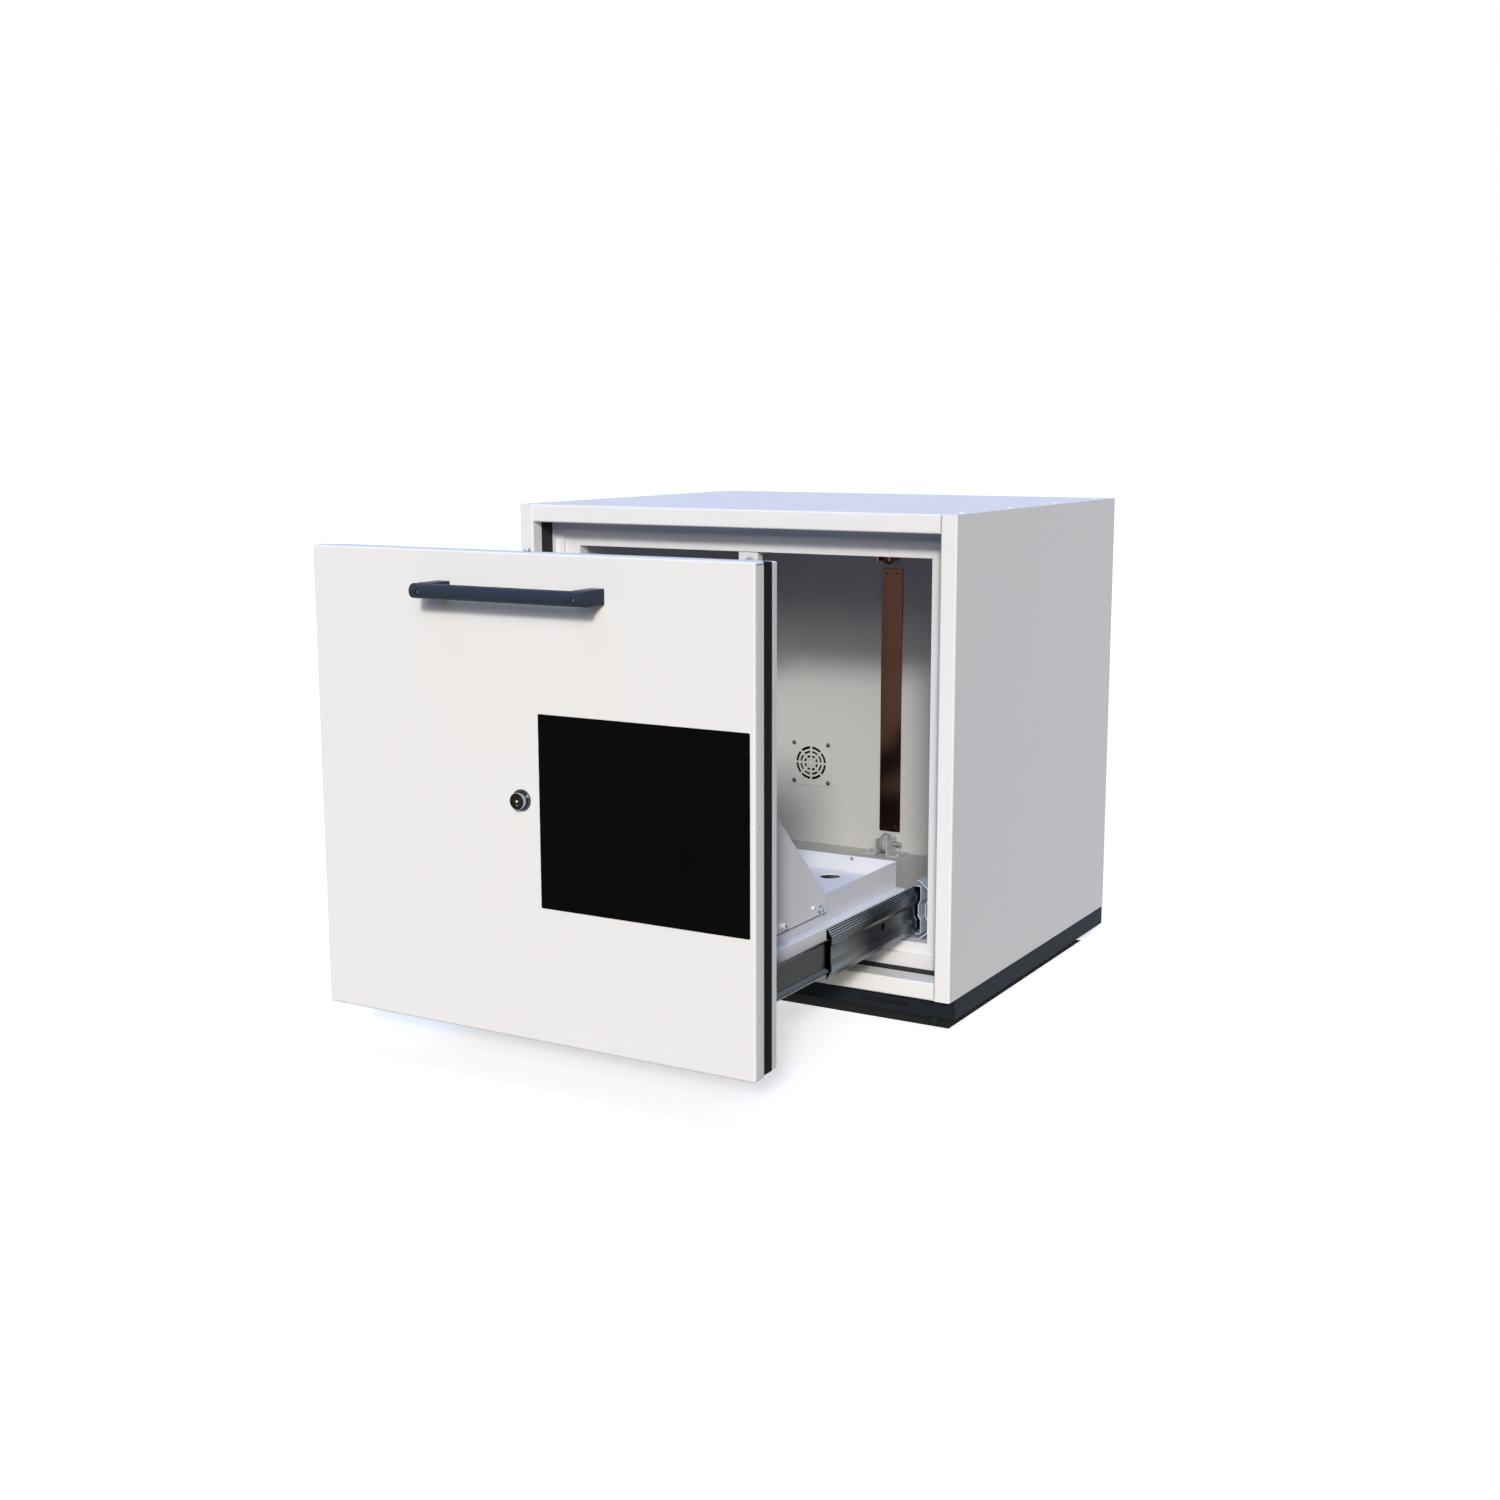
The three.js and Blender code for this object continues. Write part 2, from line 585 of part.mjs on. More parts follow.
// Telescopic slides: a fixed member on its wall carrier, a middle member and the member under the tray
function slides() {
  const sheet = slide.sheet;
  const middleFront = slide.front - middleShare * travel;
  const levels = (height) => [slideZ - height / 2, slideZ + height / 2];

  const wallX = chamber.x - fit;
  const [webLow, webHigh] = levels(carrier.webHeight);
  const [flareLow, flareHigh] = levels(carrier.flareHeight);
  const carrierFace = [
    [wallX - carrier.flareDepth - carrier.lip, flareLow],
    [wallX - carrier.flareDepth, flareLow],
    [wallX, webLow],
    [wallX, webHigh],
    [wallX - carrier.flareDepth, flareHigh],
    [wallX - carrier.flareDepth - carrier.lip, flareHigh],
  ];

  const [outerLow, outerHigh] = levels(outerMember.height);
  const outerFace = [
    [outerX - outerMember.lip, outerLow],
    [outerX, outerLow],
    [outerX, outerHigh],
    [outerX - outerMember.lip, outerHigh],
  ];

  const [middleLow, middleHigh] = levels(outerMember.height - 2 * (sheet + slide.race));
  const [bossLow, bossHigh] = levels(innerMember.height - 2 * (sheet + middleMember.bossEdge));
  const bossX = middleX - middleMember.bossDepth;
  const middleFace = [
    [middleX - middleMember.lip, middleLow],
    [middleX, middleLow],
    [middleX, bossLow - middleMember.bossEdge],
    [bossX, bossLow],
    [bossX, bossHigh],
    [middleX, bossHigh + middleMember.bossEdge],
    [middleX, middleHigh],
    [middleX - middleMember.lip, middleHigh],
  ];

  const [innerLow, innerHigh] = levels(innerMember.height);
  const innerLip = middleX - sheet - slide.race;
  const innerFace = [
    [innerLip, innerHigh],
    [innerX, innerHigh],
    [innerX, innerLow],
    [innerLip, innerLow],
  ];
  const innerFront = frontRear + innerMember.frontGap;
  const ledgeDepth = [frontRear + fit, trayRear - ledge.rearShort];

  const ledgeFace = [
    [ledgeX, ledgeTop - ledge.height],
    [ledgeX, ledgeTop],
    [ledgeX - ledge.flange, ledgeTop],
  ];

  for (const [name, side] of both) {
    const channel = (face, thickness, depths) =>
      prism(mirrored(bentSheet(face, thickness), side), "y", depths);
    const fixed = [slide.front, slide.front + slideLength];
    const spacer = box(
      span(side, outerX - sheet / 2, wallX - carrier.sheet / 2),
      fixed,
      levels(carrier.spacer),
    );
    add(
      `slide_outer_${name}`,
      join(channel(carrierFace, carrier.sheet, fixed), channel(outerFace, sheet, fixed), spacer),
      zinc,
    );
    add(`slide_middle_${name}`, channel(middleFace, sheet, [middleFront, middleFront + slideLength]), zinc);
    add(`slide_inner_${name}`, channel(innerFace, sheet, [innerFront, innerFront + slideLength]), zinc);
    add(`ledge_rail_${name}`, channel(ledgeFace, ledge.sheet, ledgeDepth), whitePaint);
  }
}

// Sump tray, its lift-out insert, and the gussets that tie the tray to the front
function trayAndGussets() {
  const trayFront = frontRear + fit;
  const inner = tray.sheet;
  const body = prism(rounded(wide(trayX), [trayFront, trayRear], tray.corner), "z", [trayBottom, trayTop]);
  const hollow = prism(
    rounded(wide(trayX - inner), [trayFront + inner, trayRear - inner], tray.corner - inner),
    "z",
    [trayBottom + inner, trayTop + overrun],
  );
  const smallHole = bar(
    trayHole.radius,
    "y",
    [trayHole.x, trayTop - trayHole.fromRim],
    [trayRear - inner - overrun, trayRear + overrun],
    12,
  );
  add("tray", cut(body, hollow, smallHole), whitePaint);

  const reach = inner + insert.sideGap;
  const seat = trayBottom + inner + fit;
  const insertTop = seat + insert.height - tray.sheet;
  const depths = [trayFront + reach, trayRear - reach];
  const lid = box(wide(trayX - reach), depths, [seat, insertTop]);
  const under = box(
    wide(trayX - reach - insert.sheet),
    [depths[0] + insert.sheet, depths[1] - insert.sheet],
    [seat - overrun, insertTop - insert.sheet],
  );
  const grips = both.map(([, side]) =>
    bar(
      insert.holeRadius,
      "z",
      [side * insert.holeX, trayRear - insert.holeFromRear],
      [insertTop - insert.sheet - overrun, insertTop + overrun],
    ),
  );
  add("tray_insert", cut(lid, under, ...grips), whitePaint);

  const bottom = trayBottom + gusset.lowerEdge;
  const plateLine = [
    [trayFront, bottom],
    [trayFront + gusset.reach, bottom],
    [trayFront + gusset.reach, bottom + gusset.rearHeight],
    [trayFront, bottom + gusset.rearHeight + gusset.rise],
  ];
  const x = trayX + fit;
  for (const [name, side] of both) {
    const plate = prism(plateLine, "x", span(side, x, x + gusset.sheet));
    const flange = box(
      span(side, x + gusset.sheet - gussetFlange.width, x + gusset.sheet),
      [trayFront, trayFront + gusset.sheet],
      [trayTop + fit, bottom + gusset.rearHeight + gusset.rise - gussetFlange.foot],
    );
    add(`gusset_${name}`, join(plate, flange), whitePaint);
  }
}

// The thick front of the pull-out: painted shell, insulating core, seal and rear panel
function pullOutFront() {
  const sheet = front.sheet;
  const heights = [frontBottom, frontTop];
  const shrink = ([a, b], by) => [a + by, b - by];
  const corners = (x, z, by, radius) => rounded(wide(x - by), shrink(z, by), radius);
  const panel = prism(corners(frontX, heights, 0, front.corner), "y", [faceY, shellRear]);
  const behind = prism(
    corners(frontX, heights, sheet, front.corner - sheet / 2),
    "y",
    [faceY + sheet, shellRear + overrun],
  );
  const barrelBore = bar(lock.radius + fit, "y", [lock.x, lockZ], [faceY - overrun, sealRear]);
  add("front_shell", cut(panel, behind, barrelBore), whitePaint);

  const core = {
    x: frontX - front.sealWidth,
    z: shrink(heights, front.sealWidth),
    y: [faceY + sheet + fit, sealRear - fit],
  };
  const pocket = box(
    [lock.x - lockPocket.left, lock.x + lockPocket.right],
    [faceY + lock.rear, sealRear - fit - sheet],
    [lockZ - lockPocket.below, lockZ + lockPocket.above],
  );
  const channel = bar(bolt.radius + bolt.clearance, "z", [bolt.x, boltY], [lockZ, frontTop + overrun]);
  const guideHeights = [frontTop - rodGuide.fromTop - rodGuide.height, frontTop - rodGuide.fromTop];
  const guideX = [bolt.x - rodGuide.width / 2, bolt.x + rodGuide.width / 2];
  const guideY = [boltY - rodGuide.width / 2, sealRear - fit];
  const guideSeat = box(
    [guideX[0] - fit, guideX[1] + fit],
    [guideY[0] - fit, sealRear],
    [guideHeights[0] - fit, guideHeights[1] + fit],
  );
  const barrelSeat = bar(lock.radius + fit, "y", [lock.x, lockZ], [faceY, faceY + lock.rear + overrun]);
  add("front_core", cut(box(wide(core.x), core.y, core.z), pocket, channel, guideSeat, barrelSeat), board);
  const guide = box(guideX, guideY, guideHeights);
  add("rod_guide", cut(guide, bar(bolt.radius + fit, "z", [bolt.x, boltY], [lockZ, frontTop])), zinc);

  const inset = sheet + fit;
  const hole = rectangle(wide(core.x + fit), shrink(heights, front.sealWidth - fit)).reverse();
  const sealRing = prism(corners(frontX, heights, inset, front.corner), "y", core.y, [hole]);
  add("front_seal", cut(sealRing, channel), sealBlack);

  const rearX = frontX - rearInset;
  const rearZ = shrink(heights, rearInset);
  const rearPanel = prism(corners(rearX, rearZ, 0, front.corner), "y", [sealRear, frontRear]);
  const rearHollow = prism(
    corners(rearX, rearZ, sheet, front.corner - sheet / 2),
    "y",
    [sealRear - overrun, frontRear - sheet],
  );
  add("front_rear_panel", cut(rearPanel, rearHollow), whitePaint);
}

// Round pull handle on two square posts
function pullHandle() {
  const y = faceY - handle.standOff;
  const z = frontTop - handle.fromTop;
  const end = handle.length / 2;
  const postX = end - post.fromEnd;
  const profile = [
    [0, -end],
    [handle.radius - handle.end, -end],
    [handle.radius, handle.end - end],
    [handle.radius, end - handle.end],
    [handle.radius - handle.end, end],
    [0, end],
  ].map(([radius, along]) => new THREE.Vector2(radius, along));
  const round = new THREE.LatheGeometry(profile, handle.sides).rotateZ(-quarter).translate(0, y, z);
  const bores = both.map(([, side]) =>
    bar(
      handleBore.radius,
      "y",
      [side * postX, z],
      [y - handle.radius - overrun, y - handle.radius + handleBore.depth],
      16,
    ),
  );
  add("handle_bar", cut(round, ...bores), handlePaint);
  for (const [name, side] of both) {
    const x = side * postX;
    const block = box(
      [x - post.width / 2, x + post.width / 2],
      [y, faceY - fit],
      [z - post.height / 2, z + post.height / 2],
    );
    const saddle = bar(handle.radius + fit, "x", [y, z], wide(end), handle.sides);
    add(`handle_post_${name}`, cut(block, saddle), handlePaint);
  }
}

// Cylinder lock in the front: its plug turns a cam that lifts the bolt rod
function lockAndBolt() {
  const at = [lock.x, lockZ];
  const outerEnd = faceY - lock.proud;
  const innerEnd = faceY + lock.rear - fit;
  const barrel = bar(lock.radius, "y", at, [outerEnd, innerEnd], 32);
  const flange = bar(lockFlange.radius, "y", at, [faceY - fit - lockFlange.thickness, faceY - fit], 32);
  const bore = bar(plug.radius + fit, "y", at, [outerEnd - overrun, innerEnd + overrun]);
  add("lock_barrel", cut(join(barrel, flange), bore), chrome);

  const plugFace = outerEnd + plug.recess;
  const camY = [innerEnd + fit, innerEnd + fit + cam.thickness];
  const core = bar(plug.radius, "y", at, [plugFace, camY[1]]);
  const keyway = box(
    [lock.x - plug.slotWidth / 2, lock.x + plug.slotWidth / 2],
    [plugFace - overrun, plugFace + plug.slotDepth],
    [lockZ - plug.slotHeight / 2, lockZ + plug.slotHeight / 2],
  );
  const arm = box(
    [lock.x, lock.x + cam.reach + cam.width / 2],
    camY,
    [lockZ - cam.width / 2, lockZ + cam.width / 2],
  );
  const pin = bar(cam.pinRadius, "y", [lock.x + cam.reach, lockZ], [camY[0], camY[1] + cam.pinLength], 16);
  add("lock_plug", join(cut(core, keyway), arm, pin), chrome);

  const top = frontTop + bolt.proud;
  const profile = [
    [0, lockZ + yoke.height / 2],
    [bolt.radius, lockZ + yoke.height / 2],
    [bolt.radius, top - bolt.tip],
    [bolt.radius - bolt.tip, top],
    [0, top],
  ].map(([radius, height]) => new THREE.Vector2(radius, height));
  const rod = new THREE.LatheGeometry(profile, 24).rotateX(quarter).translate(bolt.x, boltY, 0);
  const slowest = Math.acos(1 / quarter); // turn where the pin leads a straight ramp the most
  const lead = cam.reach * (Math.sin(slowest) - slowest / quarter);
  const slotX = [
    lock.x - cam.pinRadius - yoke.slack,
    lock.x + cam.reach + cam.pinRadius + yoke.slack,
  ];
  const slotZ = [lockZ - cam.pinRadius - yoke.slack, lockZ + cam.pinRadius + lead + yoke.slack];
  const middleX = (slotX[0] + slotX[1]) / 2;
  const middleZ = (slotZ[0] + slotZ[1]) / 2;
  const plateY = [boltY - yoke.thickness / 2, boltY + yoke.thickness / 2];
  const plate = box(
    [middleX - yoke.width / 2, middleX + yoke.width / 2],
    plateY,
    [middleZ - yoke.height / 2, middleZ + yoke.height / 2],
  );
  const slot = box(slotX, [plateY[0] - overrun, plateY[1] + overrun], slotZ);
  add("lock_rod", join(rod, cut(plate, slot)), chrome);
}

carcassShell();
openingFrame();
insulation();
chamberLiner();
exhaustDuct();
pulleys();
plinthAndFeet();
slides();
trayAndGussets();
pullOutFront();
pullHandle();
lockAndBolt();

// The finished cabinet stands with the middle of its plan, handle and all, on the origin.
const foremost = faceY - handle.standOff - handle.radius;
cabinet.position.y = -(foremost + overall.depth) / 2;

const safetyCabinet = new THREE.Group();
safetyCabinet.add(cabinet);

export default safetyCabinet;
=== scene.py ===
"""Looks of the underbench safety cabinet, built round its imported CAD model.

Metres, as in the CAD: x runs to the right, y to the back, z up from the floor. Places come from
the boxes of the CAD nodes or are named below. The pull-out stands open at rest.
"""

import json
import math

import bmesh
import bpy
import numpy as np
from mathutils import Matrix, Vector

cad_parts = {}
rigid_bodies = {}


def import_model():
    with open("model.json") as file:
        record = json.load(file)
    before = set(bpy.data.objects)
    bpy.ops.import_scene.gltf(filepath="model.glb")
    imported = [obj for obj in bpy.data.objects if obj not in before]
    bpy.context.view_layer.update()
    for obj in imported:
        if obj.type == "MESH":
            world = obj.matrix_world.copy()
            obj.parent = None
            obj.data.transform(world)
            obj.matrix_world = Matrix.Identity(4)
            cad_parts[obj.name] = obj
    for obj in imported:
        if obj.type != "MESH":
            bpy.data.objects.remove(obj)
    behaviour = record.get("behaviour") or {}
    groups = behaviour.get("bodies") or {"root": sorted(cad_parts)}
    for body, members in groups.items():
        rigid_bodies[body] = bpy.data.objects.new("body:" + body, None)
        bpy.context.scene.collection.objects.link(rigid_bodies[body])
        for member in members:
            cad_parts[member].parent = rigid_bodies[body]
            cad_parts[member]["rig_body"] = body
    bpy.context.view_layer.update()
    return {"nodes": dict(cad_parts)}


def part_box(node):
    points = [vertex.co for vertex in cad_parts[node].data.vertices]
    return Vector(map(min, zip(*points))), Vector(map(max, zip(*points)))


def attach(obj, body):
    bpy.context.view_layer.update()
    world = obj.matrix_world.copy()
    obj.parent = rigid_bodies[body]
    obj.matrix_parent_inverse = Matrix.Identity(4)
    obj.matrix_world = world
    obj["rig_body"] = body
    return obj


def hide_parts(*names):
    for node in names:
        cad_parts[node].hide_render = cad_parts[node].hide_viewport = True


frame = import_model()

MM = 0.001
FLAT = math.radians(38)  # edges that turn less than this are bends, and stay smooth
COPLANAR = math.radians(1)  # faces that turn less than this are parts of one flat face
EDGE_STEPS = 2  # faces across a rounded edge
BEND_STEPS = 6  # faces along a sheet's bend
MERGE = 1e-6  # points nearer than this are one point

# Places read from the CAD
box = {node: np.array(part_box(node)) for node in frame["nodes"]}
low = {node: corners[0] for node, corners in box.items()}
high = {node: corners[1] for node, corners in box.items()}
mid = {node: corners.mean(0) for node, corners in box.items()}
half_size = {node: (corners[1] - corners[0]) / 2 for node, corners in box.items()}

carcass_face = low["side_panel_right"][1]
shell_face = low["front_shell"][1]
SIDES = {"left": -1, "right": 1}


def outer_face(node, side):
    """x of the face of a node that looks away from the cabinet's middle, on the given side."""
    return high[node][0] if side > 0 else low[node][0]


def from_middle(node):
    """The nearest and the farthest distance of a node from the cabinet's middle, along x."""
    return sorted(abs(box[node][:, 0]))


def srgb(red, green, blue):
    """Linear colour of three screen values from 0 to 255, by the usual screen curve."""
    value = np.array([red, green, blue]) / 255
    return tuple(np.where(value <= 0.04045, value / 12.92, ((value + 0.055) / 1.055) ** 2.4))


# Shader maths
class Wire:
    """A node's output as a term in a formula: each operator adds its Math node."""

    def __init__(self, nodes, socket):
        self.nodes = nodes
        self.socket = socket

    def _math(self, operation, *terms):
        return self.nodes.node("Math", {"operation": operation}, dict(enumerate(terms)))

    def __add__(self, other):
        return self._math("ADD", self, other)

    def __sub__(self, other):
        return self._math("SUBTRACT", self, other)

    def __rsub__(self, other):
        return self._math("SUBTRACT", other, self)

    def __mul__(self, other):
        return self._math("MULTIPLY", self, other)

    def __truediv__(self, other):
        return self._math("DIVIDE", self, other)

    def __pow__(self, other):
        return self._math("POWER", self, other)

    def __gt__(self, other):
        return self._math("GREATER_THAN", self, other)

    def __lt__(self, other):
        return self._math("LESS_THAN", self, other)

    def __abs__(self):
        return self._math("ABSOLUTE", self)

    def sine(self):
        return self._math("SINE", self)

    def at_least(self, other):
        return self._math("MAXIMUM", self, other)

    __radd__ = __add__
    __rmul__ = __mul__


class Nodes:
    """A node tree that formulas are written into."""

    def __init__(self, tree):
        self.tree = tree
        self.tree.nodes.clear()

    def node(self, kind, settings=None, sockets=None, output=0):
        """Adds a node: its settings first, then the values or links of its sockets. Returns one
        output, or the node itself where it has none."""
        node = self.tree.nodes.new("ShaderNode" + kind)
        for key, value in (settings or {}).items():
            if key == "stops":
                for stop, (position, colour) in zip(self._stops(node, len(value)), value):
                    stop.position = position
                    stop.color = (*colour, 1)
            else:
                setattr(node, key, value)
        for key, value in (sockets or {}).items():
            if isinstance(value, Wire):
                self.tree.links.new(value.socket, node.inputs[key])
            else:
                socket = node.inputs[key]
                socket.default_value = (*value, 1) if socket.type == "RGBA" else value
        return Wire(self, node.outputs[output]) if node.outputs else node

    @staticmethod
    def _stops(node, count):
        stops = node.color_ramp.elements
        while len(stops) < count:
            stops.new(0.5)
        return stops

    def blend(self, factor, first, second):
        """Colour that goes from the first to the second as the factor goes from 0 to 1."""
        mix = {"data_type": "RGBA", "clamp_factor": True}
        return self.node("Mix", mix, {0: factor, 6: first, 7: second}, output=2)


class Finish(Nodes):
    """A material's node tree, and the record's slot that it stands for."""

    def __init__(self, name, slot):
        self.slot = slot
        self.material = bpy.data.materials.new(name)
        self.material.use_nodes = True
        super().__init__(self.material.node_tree)
        self.place = self.node("TexCoord", output="Object")

    def part(self, axis):
        """One coordinate, X, Y or Z, of the place in the object, in metres."""
        return self.node("SeparateXYZ", {}, {0: self.place}, output=axis)

    def noise(self, size, detail=2.0, stretch=(1, 1, 1), rough=0.5):
        """Noise from 0 to 1 whose blotches are about `size` metres, stretched along the axes."""
        scale = Vector([1 / part for part in stretch])
        place = self.node("Mapping", {}, {"Vector": self.place, "Scale": scale})
        sockets = {"Vector": place, "Scale": 1 / size, "Detail": detail, "Roughness": rough}
        return self.node("TexNoise", {}, sockets)

    def ramp(self, factor, *stops):
        """Colour between stops of (position, colour), at the factor."""
        return self.node("ValToRGB", {"stops": stops}, {"Fac": factor})

    def bump(self, height, distance):
        """Normal for a height from 0 to 1 that stands for `distance` metres."""
        sockets = {"Height": height, "Distance": distance, "Strength": 1.0}
        return self.node("Bump", {}, sockets)

    def surface(self, **sockets):
        """Principled surface; a name like base_color stands for the socket Base Color."""
        named = {}
        for key, value in sockets.items():
            words = " ".join(word.capitalize() for word in key.split("_"))
            named[words.replace("Ior", "IOR")] = value
        shader = self.node("BsdfPrincipled", {}, named)
        self.node("OutputMaterial", {}, {"Surface": shader})
        return self


# Finishes
GLOSS = 0.05  # specular level of paint, rubber and plastic under the white backdrop


def scaled(colour, factor):
    """A colour with each of its parts multiplied, up to full white."""
    return tuple(min(1, factor * part) for part in colour)


def enamel(name, slot, colour, rough=0.36, coat=0.02, zones=()):
    """Stoved powder paint: a fine orange peel, a faint cloudiness and a smoother top coat. Each
    zone is a function of the paint and its base colour, and returns that colour with a part of
    the piece painted otherwise."""
    paint = Finish(name, slot)
    cloud = paint.noise(0.16, 3)
    peel = paint.noise(0.0016, 1)
    grain = paint.noise(0.0004, 2)
    tone = paint.blend(cloud * 0.7 + grain * 0.3, scaled(colour, 0.975), colour)
    for zone in zones:
        tone = zone(paint, tone)
    return paint.surface(
        base_color=tone,
        roughness=rough - 0.05 + cloud * 0.06 + grain * 0.05,
        specular_ior_level=GLOSS,
        coat_weight=coat,
        coat_roughness=0.08,
        normal=paint.bump(peel * 0.8 + grain * 0.2, 0.000016),
    )


def textured_enamel(name, slot, colour, rough=0.42, gloss=GLOSS):
    """Dark structured paint: small close bumps whose tops are painted paler, a painted highlight.
    """
    paint = Finish(name, slot)
    bead = paint.noise(0.0011, 2)
    cloud = paint.noise(0.09, 2)
    return paint.surface(
        base_color=paint.blend(bead * 0.6 + cloud * 0.4, colour, scaled(colour, 1.22)),
        roughness=rough - 0.06 + bead * 0.12,
        specular_ior_level=gloss,
        normal=paint.bump(bead, 0.00004),
    )


TRAY_WALL = 1.2 * MM  # the painted shade on the tray's floor ends this far inside the tray's outer faces
TRAY_SHADE_HEIGHT = 1.8 * MM  # and reaches this far up, past the floor's sheet


def painted_tray_floor_shade(paint, tone):
    """Painted shade: the tray's floor under its insert is dark, where the insert's hole shows it.
    """
    inside = abs(paint.part("X")) < high["tray"][0] - TRAY_WALL
    lowest = paint.part("Z") < low["tray"][2] + TRAY_SHADE_HEIGHT
    return paint.blend(inside * lowest, tone, srgb(14, 14, 14))


def plated(name, slot, colour, dark, rough=0.24, clouds=0.05, metal_share=1.0):
    """Rolled and zinc plated sheet: lines along the rolling direction and slow clouds in the
    plating."""
    metal = Finish(name, slot)
    rolled = metal.noise(0.0009, 3, (1, 30, 1))
    cloud = metal.noise(clouds, 2, (1, 7, 1))
    spots = metal.noise(0.004, 4, (1, 1.6, 1))
    tone = metal.ramp(cloud, (0.34, dark), (0.62, colour))
    return metal.surface(
        base_color=metal.blend(spots * 0.35, tone, scaled(colour, 0.6)),
        metallic=metal_share,
        specular_ior_level=GLOSS,
        roughness=rough - 0.06 + rolled * 0.12 + spots * 0.05,
        normal=metal.bump(rolled * 0.7 + spots * 0.3, 0.00002),
    )


BALL_PITCH = 3.4 * MM  # from one ball of a slide to the next


def ball_strip(name, slot, node, reach, rows, tone, gap=srgb(16, 18, 22)):
    """Cage of a slide: pale rows over black gaps, with a dash for each ball; the black gaps and the
    dashes are painted shade between the balls. `reach` holds the heights of its two edges above the
    middle of the node, in millimetres."""
    metal = Finish(name, slot)
    bottom, top = mid[node][2] + np.array(reach) * MM
    across = (metal.part("Z") - bottom) / (top - bottom)
    row = (across * (math.pi * rows)).sine() ** 2
    dash = (metal.part("Y") * (2 * math.pi / BALL_PITCH)).sine() ** 2
    return metal.surface(
        base_color=metal.ramp(row * (dash * 0.1 + 0.9), (0.25, gap), (0.85, tone)),
        metallic=1.0,
        roughness=0.24,
    )


def polished(name, slot, colour, rough=0.1, coat=0.0):
    """Bright plated turned part: fine turning marks and a few dull specks."""
    metal = Finish(name, slot)
    specks = metal.noise(0.0014, 4)
    return metal.surface(
        base_color=metal.blend(specks * 0.4, colour, scaled(colour, 0.75)),
        metallic=1.0,
        roughness=rough + specks * 0.08,
        coat_weight=coat,
        coat_roughness=0.05,
        normal=metal.bump(specks, 0.000006),
    )


def copper_sheet(name, slot):
    """Copper-coloured plated sheet with a dull mirror finish: faint tall streaks and small
    blots."""
    metal = Finish(name, slot)
    streaks = metal.noise(0.02, 4, (1, 1, 4), 0.6)
    blots = metal.noise(0.006, 5)
    rolled = metal.noise(0.0006, 2, (1, 1, 40))
    darker = metal.blend(streaks * 0.5, srgb(80, 55, 41), srgb(60, 41, 29))
    return metal.surface(
        base_color=metal.blend(blots * 0.2, darker, srgb(90, 65, 49)),
        metallic=1.0,
        roughness=0.1 + blots * 0.08,
        normal=metal.bump(rolled * 0.5 + blots * 0.5, 0.000006),
    )


def rubber(name, slot, colour):
    """Seal: matt black with a fine grain and a bloom along the run."""
    seal = Finish(name, slot)
    grain = seal.noise(0.0007, 3)
    bloom = seal.noise(0.03, 3)
    return seal.surface(
        base_color=seal.blend(bloom * 0.7 + grain * 0.3, colour, scaled(colour, 1.7)),
        roughness=0.6 + grain * 0.25,
        specular_ior_level=GLOSS,
        normal=seal.bump(grain, 0.00008),
    )


def fibre_board(name, slot):
    """Insulating board: pale felted fibres with darker flecks."""
    fibres = Finish(name, slot)
    felt = fibres.noise(0.003, 6, (1, 3, 1), 0.7)
    flecks = fibres.noise(0.0012, 2) > 0.66
    pale = fibres.blend(felt, srgb(186, 168, 138), srgb(222, 208, 182))
    return fibres.surface(
        base_color=fibres.blend(flecks * 0.5, pale, srgb(140, 118, 90)),
        roughness=0.85 + felt * 0.1,
        specular_ior_level=GLOSS,
        normal=fibres.bump(felt, 0.0004),
    )


def moulded(name, slot, colour, rough=0.45, gloss=GLOSS):
    """Moulded plastic or printed film: even colour with a fine spark-eroded grain."""
    plastic = Finish(name, slot)
    grain = plastic.noise(0.0005, 2)
    cloud = plastic.noise(0.05, 2)
    paler = tuple(1.15 * part + 0.002 for part in colour)
    return plastic.surface(
        base_color=plastic.blend(cloud, colour, paler),
        roughness=rough - 0.05 + grain * 0.1,
        specular_ior_level=gloss,
        normal=plastic.bump(grain, 0.00001),
    )


white = enamel("white_enamel", "white_paint", srgb(240, 238, 236))
white_inner = enamel("white_enamel_inner", "white_paint", srgb(228, 226, 226))
tray_white = enamel("tray_enamel", "white_paint", srgb(218, 218, 220), zones=[painted_tray_floor_shade])
grey = enamel("grey_enamel", "grey_paint", srgb(198, 197, 196), rough=0.42, coat=0.0)
frame_white = enamel("frame_enamel", "frame_board", srgb(234, 232, 233), rough=0.42, coat=0.0)
fitting_grey = enamel("fitting_grey", "zinc", srgb(186, 187, 190), rough=0.3)
wheel_grey = enamel("wheel_grey", "zinc", srgb(164, 165, 170), rough=0.3)
slate = textured_enamel("slate_enamel", "plinth_paint", srgb(33, 37, 42), gloss=0.025)
handle_slate = textured_enamel("handle_enamel", "handle_paint", srgb(45, 53, 66), rough=0.36)
# Black rubber of the front's seal, also used for the painted shadow lines under the gussets.
black_seal_and_shadow_line = rubber("seal_rubber_and_shadow_line", "seal", srgb(17, 17, 16))
strip_rubber = rubber("strip_rubber", "seal", srgb(48, 48, 47))
board = fibre_board("insulating_board", "insulation")
# Black of the feet, also used as the painted shade of the handle's bores.
foot_and_bore_shade_black = moulded("foot_plastic_and_bore_shade", "foot_plastic", srgb(34, 37, 40))
